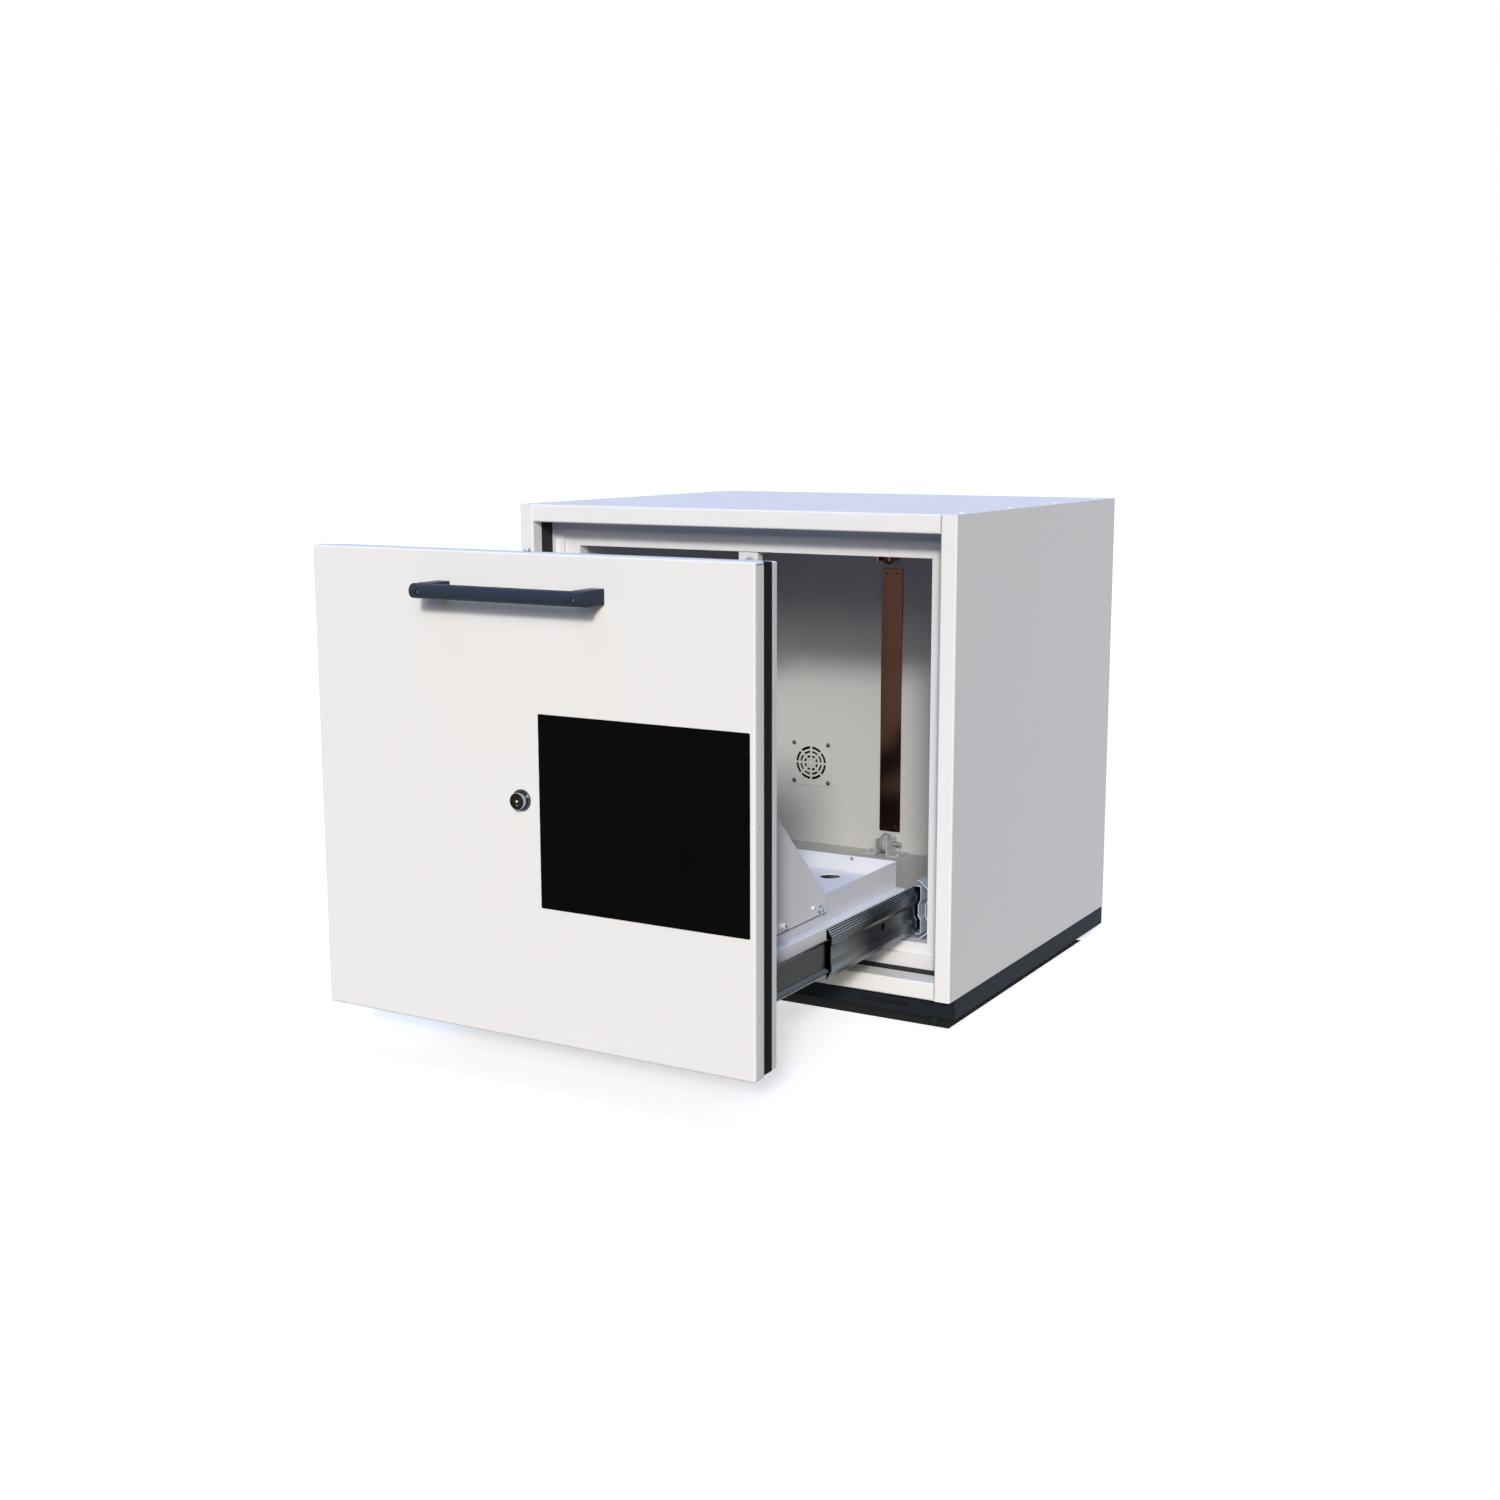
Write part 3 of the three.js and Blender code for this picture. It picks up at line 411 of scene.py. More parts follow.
# Black of the front's plate, also used as the painted shade of the duct's mouth, the spacers' bores
# and the slides' holes.
plate_and_shade_black = moulded("plate_film_and_shade", "seal", srgb(2, 2, 2), rough=0.4, gloss=0.02)
zinc_pale = plated(
    "zinc_pale", "zinc", srgb(196, 206, 216), srgb(180, 190, 200), rough=0.34, metal_share=0.35
)
zinc_olive = plated("zinc_olive", "zinc", srgb(35, 39, 15), srgb(27, 30, 11), clouds=0.12)
zinc_dull = plated("zinc_dull", "zinc", srgb(104, 107, 106), srgb(66, 68, 68), rough=0.2)
cage_upper = ball_strip(
    "cage_upper", "zinc", "slide_middle_right", (19.4, 28.2), 4, srgb(150, 166, 174)
)
# The lower cage faces down: its darker tone is painted shade.
cage_lower_shaded = ball_strip(
    "cage_lower_shaded", "zinc", "slide_middle_right", (-28.2, -19.4), 3, srgb(120, 130, 134)
)
cage_inner = ball_strip(
    "cage_inner", "zinc", "slide_inner_right", (-17.8, -13.6), 3, srgb(104, 120, 136),
    gap=srgb(52, 60, 70),
)
chrome = polished("bright_chrome", "chrome", srgb(226, 230, 234))
steel = polished("screw_steel", "zinc", srgb(176, 182, 190), rough=0.2)
dark_steel = polished("dark_screw_steel", "zinc", srgb(84, 88, 100), rough=0.22)
copper = copper_sheet("copper_sheet", "copper")
# The upper pulley and its bracket are steel twins of the grey lower pair; their copper tone is a
# painted reflection of the copper cover strip.
upper_wheel_copper_reflection = polished("upper_wheel_copper_reflection", "copper", srgb(150, 104, 78), rough=0.25)
upper_bracket_copper_reflection = polished("upper_bracket_copper_reflection", "copper", srgb(206, 156, 138), rough=0.3)
lock_dark = moulded("lock_face", "chrome", srgb(36, 34, 27), rough=0.3)
lock_side = polished("lock_side", "chrome", srgb(176, 184, 184), rough=0.16)
# The flange is chrome; its dark blue tone is a painted reflection.
lock_flange_dark_reflection = polished("lock_flange_dark_reflection", "chrome", srgb(38, 46, 62), coat=1.0)


# Mesh making
def finished(name, mesh, finish, body, replaced=(), edge=0.0):
    """Turns a mesh into a piece: smooth faces, rounded sharp edges, normals weighted by face
    size."""
    piece = bpy.data.objects.new(name, mesh)
    bpy.context.scene.collection.objects.link(piece)
    mesh.materials.clear()
    mesh.materials.append(finish.material)
    mesh.polygons.foreach_set("use_smooth", np.ones(len(mesh.polygons), bool))
    if edge:
        rounding = piece.modifiers.new("edges", "BEVEL")
        rounding.width = edge
        rounding.segments = EDGE_STEPS
        rounding.limit_method = "ANGLE"
        rounding.angle_limit = FLAT
        rounding.miter_outer = "MITER_ARC"
    weighted = piece.modifiers.new("normals", "WEIGHTED_NORMAL")
    weighted.keep_sharp = False
    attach(piece, body)
    if replaced:
        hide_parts(*replaced)
    return piece


def cleaned(grid, name):
    """Mesh of a bmesh whose doubles are merged, with all faces turned outwards."""
    bmesh.ops.remove_doubles(grid, verts=grid.verts, dist=MERGE)
    bmesh.ops.recalc_face_normals(grid, faces=grid.faces)
    mesh = bpy.data.meshes.new(name)
    grid.to_mesh(mesh)
    grid.free()
    return mesh


def assembled(name, parts, finish, body, replaced=(), edge=0.0):
    """One piece from parts, each an array of points and a list of faces on them."""
    points, faces, start = [], [], 0
    for part_points, part_faces in parts:
        points.append(part_points)
        faces.extend([[start + i for i in face] for face in part_faces])
        start += len(part_points)
    mesh = bpy.data.meshes.new(name)
    mesh.from_pydata(np.concatenate(points).tolist(), [], faces)
    grid = bmesh.new()
    grid.from_mesh(mesh)
    bpy.data.meshes.remove(mesh)
    return finished(name, cleaned(grid, name), finish, body, replaced, edge)


def rounded(node, finish, edge):
    """A CAD node with rounded edges: a copy with its doubles merged and its flat faces joined,
    under a Bevel that rounds each edge that turns more than a sheet's bend does."""
    grid = bmesh.new()
    grid.from_mesh(frame["nodes"][node].data)
    bmesh.ops.remove_doubles(grid, verts=grid.verts, dist=MERGE)
    bmesh.ops.dissolve_limit(grid, angle_limit=COPLANAR, verts=grid.verts, edges=grid.edges)
    mesh = bpy.data.meshes.new(node)
    grid.to_mesh(mesh)
    grid.free()
    for layer in [layer for layer in mesh.attributes if layer.name == "custom_normal"]:
        mesh.attributes.remove(layer)
    body = frame["nodes"][node]["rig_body"]
    return finished(f"{node}_finish", mesh, finish, body, (node,), edge)


def grid_faces(rows, columns, close_rows=False, close_columns=False):
    """Quads of a grid of points numbered row by row, wrapped where it closes."""
    row = np.arange(rows if close_rows else rows - 1)[:, None]
    column = np.arange(columns if close_columns else columns - 1)[None, :]
    below, right = (row + 1) % rows * columns, (column + 1) % columns
    row = row * columns
    corners = [row + column, row + right, below + right, below + column]
    return np.stack(np.broadcast_arrays(*corners), -1).reshape(-1, 4).tolist()


AXES = {"x": (1, 2, 0), "y": (0, 2, 1), "z": (0, 1, 2)}


def placed(outline, axis, along):
    """Points of a flat outline at a distance along an axis: (y, z) for x, (x, z) for y and (x, y)
    for z."""
    first, second, third = AXES[axis]
    points = np.empty((len(outline), 3))
    points[:, first] = outline[:, 0]
    points[:, second] = outline[:, 1]
    points[:, third] = along
    return points


def carried(outline, axis, start, end):
    """A closed outline carried in a straight line from start to end, with a flat face at each
    end."""
    outline = np.asarray(outline, float)
    count = len(outline)
    points = np.concatenate([placed(outline, axis, start), placed(outline, axis, end)])
    ends = [list(range(count)), list(range(count, 2 * count))]
    return points, grid_faces(2, count, close_columns=True) + ends


def turned(profile, centre, axis, steps):
    """A profile of (radius, distance along the axis) turned round the axis through a centre: each
    point goes to radius times (cos turn, sin turn). Points of no radius meet at the pole."""
    profile = np.asarray(profile, float)
    turn = np.arange(steps) * (2 * math.pi / steps)
    first, second, third = AXES[axis]
    points = np.empty((len(profile), steps, 3))
    points[..., first] = centre[first] + profile[:, :1] * np.cos(turn)
    points[..., second] = centre[second] + profile[:, :1] * np.sin(turn)
    points[..., third] = centre[third] + profile[:, 1:]
    return points.reshape(-1, 3), grid_faces(len(profile), steps, close_columns=True)


def arc(centre, radius, start, end, steps):
    """Points on an arc in the plane: centre plus radius times (cos a, sin a), in degrees."""
    angle = np.radians(np.linspace(start, end, steps + 1))
    return np.stack([centre[0] + radius * np.cos(angle), centre[1] + radius * np.sin(angle)], -1)


def lines(*pieces):
    """One line of points from single points and arrays of points."""
    return np.concatenate([np.atleast_2d(np.asarray(piece, float)) for piece in pieces])


def mm(*pieces):
    """The same, from points in millimetres."""
    return lines(*pieces) * MM


def bent_sheet(face, thickness, radius):
    """Outline of a bent sheet. `face` is the line of one of its faces, and the sheet lies to the
    left of it. At each bend the inner radius is `radius`, and both faces follow arcs about one
    centre."""
    face = np.asarray(face, float)
    way = np.diff(face, axis=0)
    way /= np.linalg.norm(way, axis=1)[:, None]
    left = np.stack([-way[:, 1], way[:, 0]], -1)
    near, far = [face[:1]], [face[:1] + thickness * left[:1]]
    for corner, before, after, side_way in zip(face[1:-1], way[:-1], way[1:], left[:-1]):
        turn = math.atan2(before[0] * after[1] - before[1] * after[0], before @ after)
        side = math.copysign(1, turn)
        near_radius = radius + (thickness if side > 0 else 0)
        far_radius = radius + (0 if side > 0 else thickness)
        back = near_radius * math.tan(abs(turn) / 2)
        centre = corner - before * back + side * near_radius * side_way
        angle = np.linspace(0, turn, BEND_STEPS + 1)[:, None]
        spoke = -side * side_way
        swung = np.cos(angle) * spoke + np.sin(angle) * np.array([-spoke[1], spoke[0]])
        near.append(centre + near_radius * swung)
        far.append(centre + far_radius * swung)
    near.append(face[-1:])
    far.append(face[-1:] + thickness * left[-1:])
    return np.concatenate(near + [np.concatenate(far)[::-1]])


def sided(outline, side):
    """An outline with its x turned to one side of the cabinet."""
    return np.asarray(outline) * (side, 1)


# Sheet and block pieces that keep their CAD shape, with the radius of their edges in millimetres
ROUNDED = {
    white: {
        "side_panel_left": 0.3,
        "side_panel_right": 0.3,
        "top_panel": 0.3,
        "bottom_panel": 0.3,
        "rear_panel": 0.3,
        "tray_insert": 0.6,
    },
    tray_white: {"tray": 0.45},
    white_inner: {
        "gusset_left": 0.5,
        "gusset_right": 0.5,
        "ledge_rail_left": 0.4,
        "ledge_rail_right": 0.4,
        "front_rear_panel": 1.4,
        "keeper_block": 0.8,
    },
    frame_white: {"inner_frame": 0.7},
    slate: {"plinth_front": 0.3, "plinth_frame": 0.3},
    handle_slate: {"handle_post_left": 0.9, "handle_post_right": 0.9},
    foot_and_bore_shade_black: {
        "foot_front_left": 0.5,
        "foot_front_right": 0.5,
        "foot_rear_left": 0.5,
        "foot_rear_right": 0.5,
    },
    black_seal_and_shadow_line: {"front_seal": 1.2},
    strip_rubber: {
        "seal_strip_left": 0.8,
        "seal_strip_right": 0.8,
        "seal_strip_top": 0.8,
        "seal_strip_bottom": 0.8,
    },
    fitting_grey: {"lower_pulley_bracket_left": 0.3, "lower_pulley_bracket_right": 0.3},
    copper: {"cover_strip": 0.35},
    upper_bracket_copper_reflection: {"upper_pulley_bracket": 0.35},
    chrome: {"lower_pulley_axle": 0.5, "upper_pulley_axle": 0.5, "lock_rod": 1.2},
    lock_dark: {"lock_plug": 0.3},
}

# Pieces that keep their CAD mesh as it is
KEPT = {
    grey: [
        "vent_grille",
        "liner_left",
        "liner_right",
        "liner_floor",
        "liner_ceiling",
        "liner_back",
    ],
    board: [
        "insulation_left",
        "insulation_right",
        "insulation_bottom",
        "insulation_top",
        "insulation_rear",
        "front_core",
    ],
    zinc_pale: ["rod_guide"],
}


def sheet_pieces():
    """Gives the CAD pieces of both lists their finish, and the first list its rounded edges."""
    for finish, edges in ROUNDED.items():
        for node, edge in edges.items():
            rounded(node, finish, edge * MM)
    for finish, nodes in KEPT.items():
        for node in nodes:
            for slot in frame["nodes"][node].material_slots:
                slot.material = finish.material


# Front of the pull-out
BEND = 2.4 * MM  # outer radius of the folded edges of the front
SHELL_SHEET = 1.2 * MM
RELIEF = 0.6 * MM  # slit between neighbouring flanges at each corner


def folded_front():
    """The painted front: a line of (inset, depth), round at the bend, carried round a rectangle
    with round corners; each point is the corner's centre plus (corner radius - inset) times the
    outward direction. The side flanges end in a slit below the upper flange and above the lower
    one."""
    corner = 2.6 * MM
    x0, z0 = low["front_shell"][[0, 2]] + corner
    x1, z1 = high["front_shell"][[0, 2]] - corner
    turns = np.radians(np.arange(0, 91, 15))
    centres, outward, slits = [], [], []
    for quarter, (x, z) in enumerate([(x1, z1), (x0, z1), (x0, z0), (x1, z0)]):
        angle = turns + quarter * math.pi / 2
        ring = np.stack([np.cos(angle), np.sin(angle)], -1)
        upright = [[x, z - RELIEF if z == z1 else z + RELIEF]]
        level = np.tile([[x, z]], (len(turns), 1))
        starts_upright = quarter in (0, 2)
        across = np.round(ring[:1] if starts_upright else ring[-1:])
        slits.append(sum(len(part) for part in centres) + (0 if starts_upright else len(turns) - 1))
        centres.append(np.concatenate([upright, level] if starts_upright else [level, upright]))
        outward.append(np.concatenate([across, ring] if starts_upright else [ring, across]))
    centres, outward = np.concatenate(centres), np.concatenate(outward)

    bend = np.radians(np.linspace(0, 90, 9))
    inset = np.append(BEND * (1 - np.sin(bend)), 0)
    depth = np.append(BEND * (1 - np.cos(bend)), high["front_shell"][1] - shell_face)
    loop = centres[None] + (corner - inset)[:, None, None] * outward[None]
    points = np.empty((*loop.shape[:2], 3))
    points[..., 0] = loop[..., 0]
    points[..., 1] = shell_face + depth[:, None]
    points[..., 2] = loop[..., 1]
    count = len(centres)
    faces = grid_faces(len(inset), count, close_columns=True)
    last_row = (len(inset) - 2) * count
    faces = [face for i, face in enumerate(faces) if i < last_row or (i - last_row) not in slits]
    faces.append(list(range(count)))
    parts = [(points.reshape(-1, 3), faces)]
    piece = assembled("front_face_sheet", parts, white, "drawer", ("front_shell",))
    wall = piece.modifiers.new("sheet", "SOLIDIFY")
    wall.thickness = SHELL_SHEET
    wall.offset = -1
    wall.use_even_offset = True
    piece.modifiers.move(len(piece.modifiers) - 1, 0)


def black_plate():
    """Bare black plate on the front: a rectangle with round corners, carried through its
    thickness."""
    x0, x1, z0, z1 = 20.3 * MM, 268.5 * MM, 208 * MM, 410.5 * MM
    radius, thickness, sunk = 1.5 * MM, 0.5 * MM, 0.1 * MM
    centres = [
        (x1 - radius, z1 - radius),
        (x0 + radius, z1 - radius),
        (x0 + radius, z0 + radius),
        (x1 - radius, z0 + radius),
    ]
    turns = [90 * quarter for quarter in range(4)]
    outline = lines(*[arc(at, radius, turn, turn + 90, 5) for at, turn in zip(centres, turns)])
    part = carried(outline, "y", shell_face - thickness, shell_face + sunk)
    assembled("front_black_plate", [part], plate_and_shade_black, "drawer", edge=0.15 * MM)


# Fasteners and small trim
ROOT = 0.3 * MM  # how deep a domed head stands in its sheet


def dome_profile(radius, height, socket=0.0, socket_depth=0.0):
    """Profile of a domed head, a cap of a sphere over its rim, with a flat round socket in its
    top."""
    sphere = (radius**2 + height**2) / (2 * height)
    rim = math.degrees(math.asin((sphere - height) / sphere))
    top = math.degrees(math.acos(socket / sphere))
    cap = arc((0, height - sphere), sphere, rim, top, 6)
    start = [(0, -ROOT), (radius, -ROOT)]
    if not socket:
        return lines(*start, cap[:-1], (0, height))
    bottom = cap[-1, 1] - socket_depth
    return lines(*start, cap, (socket, bottom), (0, bottom))


# Profiles of heads and of turned trim: radius, and height over the sheet
GRILLE_SCREW = dome_profile(3.3 * MM, 1.9 * MM, socket=1.0 * MM, socket_depth=0.7 * MM)
STRIP_RIVET = dome_profile(1.5 * MM, 0.5 * MM)
BRACKET_SCREW = dome_profile(3.2 * MM, 1.7 * MM)
EDGE_PLUG = dome_profile(2.5 * MM, 0.15 * MM)
RETURN_RIVET = dome_profile(2.0 * MM, 0.6 * MM)
INSERT_PLUG = dome_profile(3.2 * MM, 0.25 * MM)
HANDLE_SCREW = dome_profile(1.7 * MM, 0.25 * MM)
PLUG_DOT = dome_profile(0.5 * MM, 0.25 * MM)
DUCT_SHADE_DISC = mm((0, -0.4), (28.2, -0.4), (28.2, 0.4), (0, 0.4))
NUT = mm((0, -0.3), (4.2, -0.3), (4.6, 0.4), (4.6, 3.0), (4.1, 3.5), (2.2, 3.6), (0, 3.6))
WASHER = mm((0, -0.3), (5.6, -0.3), (5.6, 0.8), (0, 0.8))
BOLT_END = mm((0, 3.0), (2.1, 3.0), (2.1, 6.2), (1.6, 6.8), (0, 6.8))
STUD = mm((0, -0.3), (1.9, -0.3), (1.9, 1.8), (1.5, 2.4), (0, 2.5))
SPACER = mm((0, -0.3), (3.5, -0.3), (3.5, 6.6), (3.0, 7.1), (2.0, 7.1), (2.0, 2.0), (0, 2.0))
SPACER_BORE_SHADE = mm((0, 3.0), (1.98, 3.0), (1.98, 6.7), (0, 6.7))
BUTTON_RIM = arc((6.6, 1.0), 0.8, 0, 90, 4)
BUTTON = mm((0, -0.3), (7.4, -0.3), BUTTON_RIM, (5.2, 1.8), (4.8, 0.9), (0, 0.9))
SLIDE_HOLE_SHADE = mm((0, -0.6), (5.2, -0.6), (5.2, 0.05), (0, 0.05))
KEY_GUIDE = mm((0, -0.4), (1.5, -0.4), (1.5, 0.9), (1.2, 1.2), (0.9, 0.9), (0.8, -0.1), (0, -0.1))


def heads(name, profile, places, axis, finish, body, steps=24, outward=1):
    """The same turned head at each place, its top pointing along the axis or against it."""
    parts = [turned(profile * (1, outward), place, axis, steps) for place in places]
    return assembled(name, parts, finish, body)


def grille_screws():
    """Four screws at the corners of the grille, with round sockets."""
    reach = 28.2 * MM  # from the grille's middle, along x and z
    x, z = mid["vent_grille"][[0, 2]]
    face = low["vent_grille"][1]
    places = [(x + i * reach, face, z + j * reach) for i in (-1, 1) for j in (-1, 1)]
    heads("grille_screws", GRILLE_SCREW, places, "y", dark_steel, "carcass", outward=-1)


def duct_mouth_shade():
    """Black disc in the mouth of the duct, behind the grille: painted shade of the duct's inside.
    """
    depth = 2 * MM
    x, z = mid["exhaust_duct"][[0, 2]]
    place = (x, low["exhaust_duct"][1] + depth, z)
    heads("duct_mouth_shade", DUCT_SHADE_DISC, [place], "y", plate_and_shade_black, "carcass", steps=64)


def cover_strip_rivets():
    """Two rivets at each end of the cover strip."""
    from_side, from_end = 8 * MM, 6.5 * MM
    (x0, face, z0), (x1, _, z1) = box["cover_strip"]
    columns = (x0 + from_side, x1 - from_side)
    rows = (z0 + from_end, z1 - from_end)
    places = [(x, face, z) for x in columns for z in rows]
    heads("cover_strip_rivets", STRIP_RIVET, places, "y", copper, "carcass", outward=-1)


def pulley_bracket_screws():
    """Two screws on the foot of each angle bracket of the lower pulley."""
    from_side, from_front, from_rear, foot = 7 * MM, 6 * MM, 7 * MM, 2 * MM
    places = []
    for name, side in SIDES.items():
        bracket = f"lower_pulley_bracket_{name}"
        x = outer_face(bracket, side) - side * from_side
        level = low[bracket][2] + foot
        for y in (low[bracket][1] + from_front, high[bracket][1] - from_rear):
            places.append((x, y, level))
    heads("pulley_bracket_screws", BRACKET_SCREW, places, "z", fitting_grey, "carcass")


def front_edge_plugs():
    """Three plugs in each side flange of the front."""
    behind_face = 7 * MM
    heights = (512.5 * MM, 318.2 * MM, 125.5 * MM)
    for name, side in SIDES.items():
        wall = outer_face("front_shell", side)
        places = [(wall, shell_face + behind_face, z) for z in heights]
        plugs = f"front_edge_plugs_{name}"
        heads(plugs, EDGE_PLUG, places, "x", white_inner, "drawer", outward=side)


def gusset_fasteners():
    """On each gusset a hexagon nut with its washer and bolt end, a round stud, and a spacer whose
    bore holds a black plug, painted shade of the bore."""
    for name, side in SIDES.items():
        face = outer_face(f"gusset_{name}", side)
        bolt = (face, carcass_face - 164.3 * MM, 176.7 * MM)
        stud = (face, carcass_face - 182 * MM, 182.8 * MM)
        spacer = (face, carcass_face - 253.4 * MM, 179.6 * MM)
        outwards = (1, side)
        nut_parts = [
            turned(NUT * outwards, bolt, "x", 6),
            turned(WASHER * outwards, bolt, "x", 24),
            turned(BOLT_END * outwards, bolt, "x", 20),
        ]
        assembled(f"gusset_nut_{name}", nut_parts, steel, "drawer", edge=0.2 * MM)
        spacer_parts = [
            turned(STUD * outwards, stud, "x", 20),
            turned(SPACER * outwards, spacer, "x", 32),
        ]
        assembled(f"gusset_spacer_{name}", spacer_parts, white, "drawer", edge=0.15 * MM)
        # The black plug in the spacer's bore is painted shade.
        bore = f"gusset_bore_shade_{name}"
        heads(bore, SPACER_BORE_SHADE, [spacer], "x", plate_and_shade_black, "drawer", outward=side)


def gusset_shadow_lines():
    """Black strip on the tray's wall, close below each gusset: a painted shadow under the gusset's
    lower edge.
    """
    sunk, proud, drop, gap = 0.3 * MM, 1.6 * MM, 0.9 * MM, 0.1 * MM
    front_end, rear_end = 1 * MM, 12 * MM
    for name, side in SIDES.items():
        wall = outer_face("tray", side)
        gusset = f"gusset_{name}"
        inner, outer = wall - side * sunk, wall + side * proud
        bottom, top = low[gusset][2] - drop, low[gusset][2] - gap
        shadow_strip = [(inner, bottom), (outer, bottom), (outer, top), (inner, top)]
        run = (low[gusset][1] + front_end, high[gusset][1] - rear_end)
        assembled(f"gusset_shadow_line_{name}", [carried(shadow_strip, "y", *run)], black_seal_and_shadow_line, "drawer")


def return_rivets():
    """One rivet on the inner face of each side panel's return."""
    fold, behind_face, height = 20 * MM, 13 * MM, 558.5 * MM
    for name, side in SIDES.items():
        x = outer_face(f"side_panel_{name}", side) - side * fold
        place = (x, carcass_face + behind_face, height)
        rivet = f"return_rivet_{name}"
        heads(rivet, RETURN_RIVET, [place], "x", grey, "carcass", outward=-side)


def keeper_button():
    """Dished round button on the face of the catch block."""
    place = (3.2 * MM, low["keeper_block"][1], 533.0 * MM)
    heads("keeper_button", BUTTON, [place], "y", zinc_pale, "carcass", steps=48, outward=-1)


def tray_insert_plugs():
    """A low domed plug near each side edge of the tray's insert."""
    across, behind_face = 172 * MM, 0.5 * MM
    level = high["tray_insert"][2]
    places = [(side * across, carcass_face + behind_face, level) for side in SIDES.values()]
    heads("tray_insert_plugs", INSERT_PLUG, places, "z", white, "drawer", steps=32)


def handle():
    """Round bar with eased ends. Over each post it has a screw bore, a dark disc that hugs the
    bar's round front, with the screw in it; the disc's darkness is painted shade of the bore."""
    room = 0.25 * MM  # keeps the screws inside the bar's own box
    ease = 0.7 * MM
    half = half_size["handle_bar"][0]
    radius = half_size["handle_bar"][2] - room
    front = low["handle_bar"][1] + room
    level = mid["handle_bar"][2]
    profile = lines(
        (0, -half),
        arc((radius - ease, ease - half), ease, -90, 0, 5),
        arc((radius - ease, half - ease), ease, 0, 90, 5),
        (0, half),
    )
    bar = turned(profile, mid["handle_bar"], "x", 96)
    assembled("handle_bar_turned", [bar], handle_slate, "drawer", ("handle_bar",))

    # Each bore is a dark disc laid on the bar, not a hole: painted shade.
    rim, sunk, proud = 3.4 * MM, 0.3 * MM, -0.06 * MM
    rings = [(rim * share, proud) for share in (1, 0.7, 0.35, 0)]
    bore = lines((0, sunk), (rim, sunk), *rings)
    aside, below = 1.1 * MM, 0.3 * MM  # of the screw in its bore
    bore_shade_discs, screws = [], []
    for name in SIDES:
        x = mid[f"handle_post_{name}"][0]
        points, faces = turned(bore, (x, front, level), "y", 40)
        points[:, 1] += radius - np.sqrt(radius**2 - (points[:, 2] - level) ** 2)
        bore_shade_discs.append((points, faces))
        screw_at = (x + aside, front, level - below)
        screws.append(turned(HANDLE_SCREW * (1, -1), screw_at, "y", 24))
    assembled("handle_bore_shades", bore_shade_discs, foot_and_bore_shade_black, "drawer")
    assembled("handle_screws", screws, dark_steel, "drawer")


# Pulleys
def pulley(name, finish, body):
    """Grooved wheel: each flange is a dome of an elliptic section, and the groove is a round
    throat, a sine from the rim down to it."""
    steps = 64
    half, _, radius = half_size[name]
    bore, rim, throat, lip = 2.8 * MM, 1.0 * MM, 9.6 * MM, 0.4 * MM
    angle = np.radians(np.linspace(90, 0, 12))
    flange = [bore + (radius - bore) * np.cos(angle), rim + (half - rim) * np.sin(angle)]
    down = np.linspace(0, 1, 9)
    groove = [radius - (radius - throat) * np.sin(down * math.pi / 2), (rim + lip) * (1 - down)]
    side = lines((bore, half), np.stack(flange, -1), np.stack(groove, -1)[1:])
    profile = lines(side, (side * (1, -1))[::-1][1:])
    points, _ = turned(profile, mid[name], "x", steps)
    faces = grid_faces(len(profile), steps, close_rows=True, close_columns=True)
    assembled(f"{name}_wheel", [(points, faces)], finish, body, (name,))


# Lock
def lock():
    """Turned barrel with its flange and its dark face, and a guide and a dot on the key plug. The
    flange's dark blue tone is a painted reflection on chrome.
    """
    centre = mid["lock_barrel"]
    outer, inner = box["lock_barrel"][:, 1] - centre[1]
    face = shell_face - centre[1]
    radius, bore = 8.75 * MM, 6.3 * MM
    round_edge, ease = 0.8 * MM, 0.2 * MM
    barrel = lines(
        (bore, inner),
        (radius, inner),
        (radius, outer + round_edge),
        arc((radius - round_edge, outer + round_edge), round_edge, 0, -90, 5),
        (bore + ease, outer),
        (bore, outer + ease),
        (bore, inner),
    )
    flange_radius = half_size["lock_barrel"][0]
    rim, foot = 1.3 * MM, face - 0.1 * MM
    flange = lines(
        (radius, foot),
        (flange_radius, foot),
        (flange_radius, face - rim),
        arc((flange_radius - rim, face - rim), rim, 0, -90, 6),
        (radius + 0.4 * MM, face - 2.7 * MM),
        (radius, face - 2.2 * MM),
        (radius, foot),
    )
    for name, profile, finish in (("turned", barrel, lock_side), ("flange", flange, lock_flange_dark_reflection)):
        part = turned(profile, centre, "y", 64)
        assembled(f"lock_barrel_{name}", [part], finish, "drawer", ("lock_barrel",))
    near, far = bore - 0.1 * MM, radius - 0.2 * MM
    back, front = outer + 0.25 * MM, outer - 0.05 * MM
    ring = lines((near, back), (near, front), (far, front), (far, back), (near, back))
    assembled("lock_barrel_face", [turned(ring, centre, "y", 64)], lock_dark, "drawer")

    plug_face = low["lock_plug"][1]
    recess, drop = 0.6 * MM, 4.4 * MM
    guide_at = (centre[0], plug_face + recess, centre[2])
    dot_at = (centre[0], plug_face, centre[2] - drop)
    parts = [
        turned(KEY_GUIDE * (1, -1), guide_at, "y", 32),
        turned(PLUG_DOT * (1, -1), dot_at, "y", 16),
    ]
    assembled("lock_key_guide", parts, steel, "key_plug")


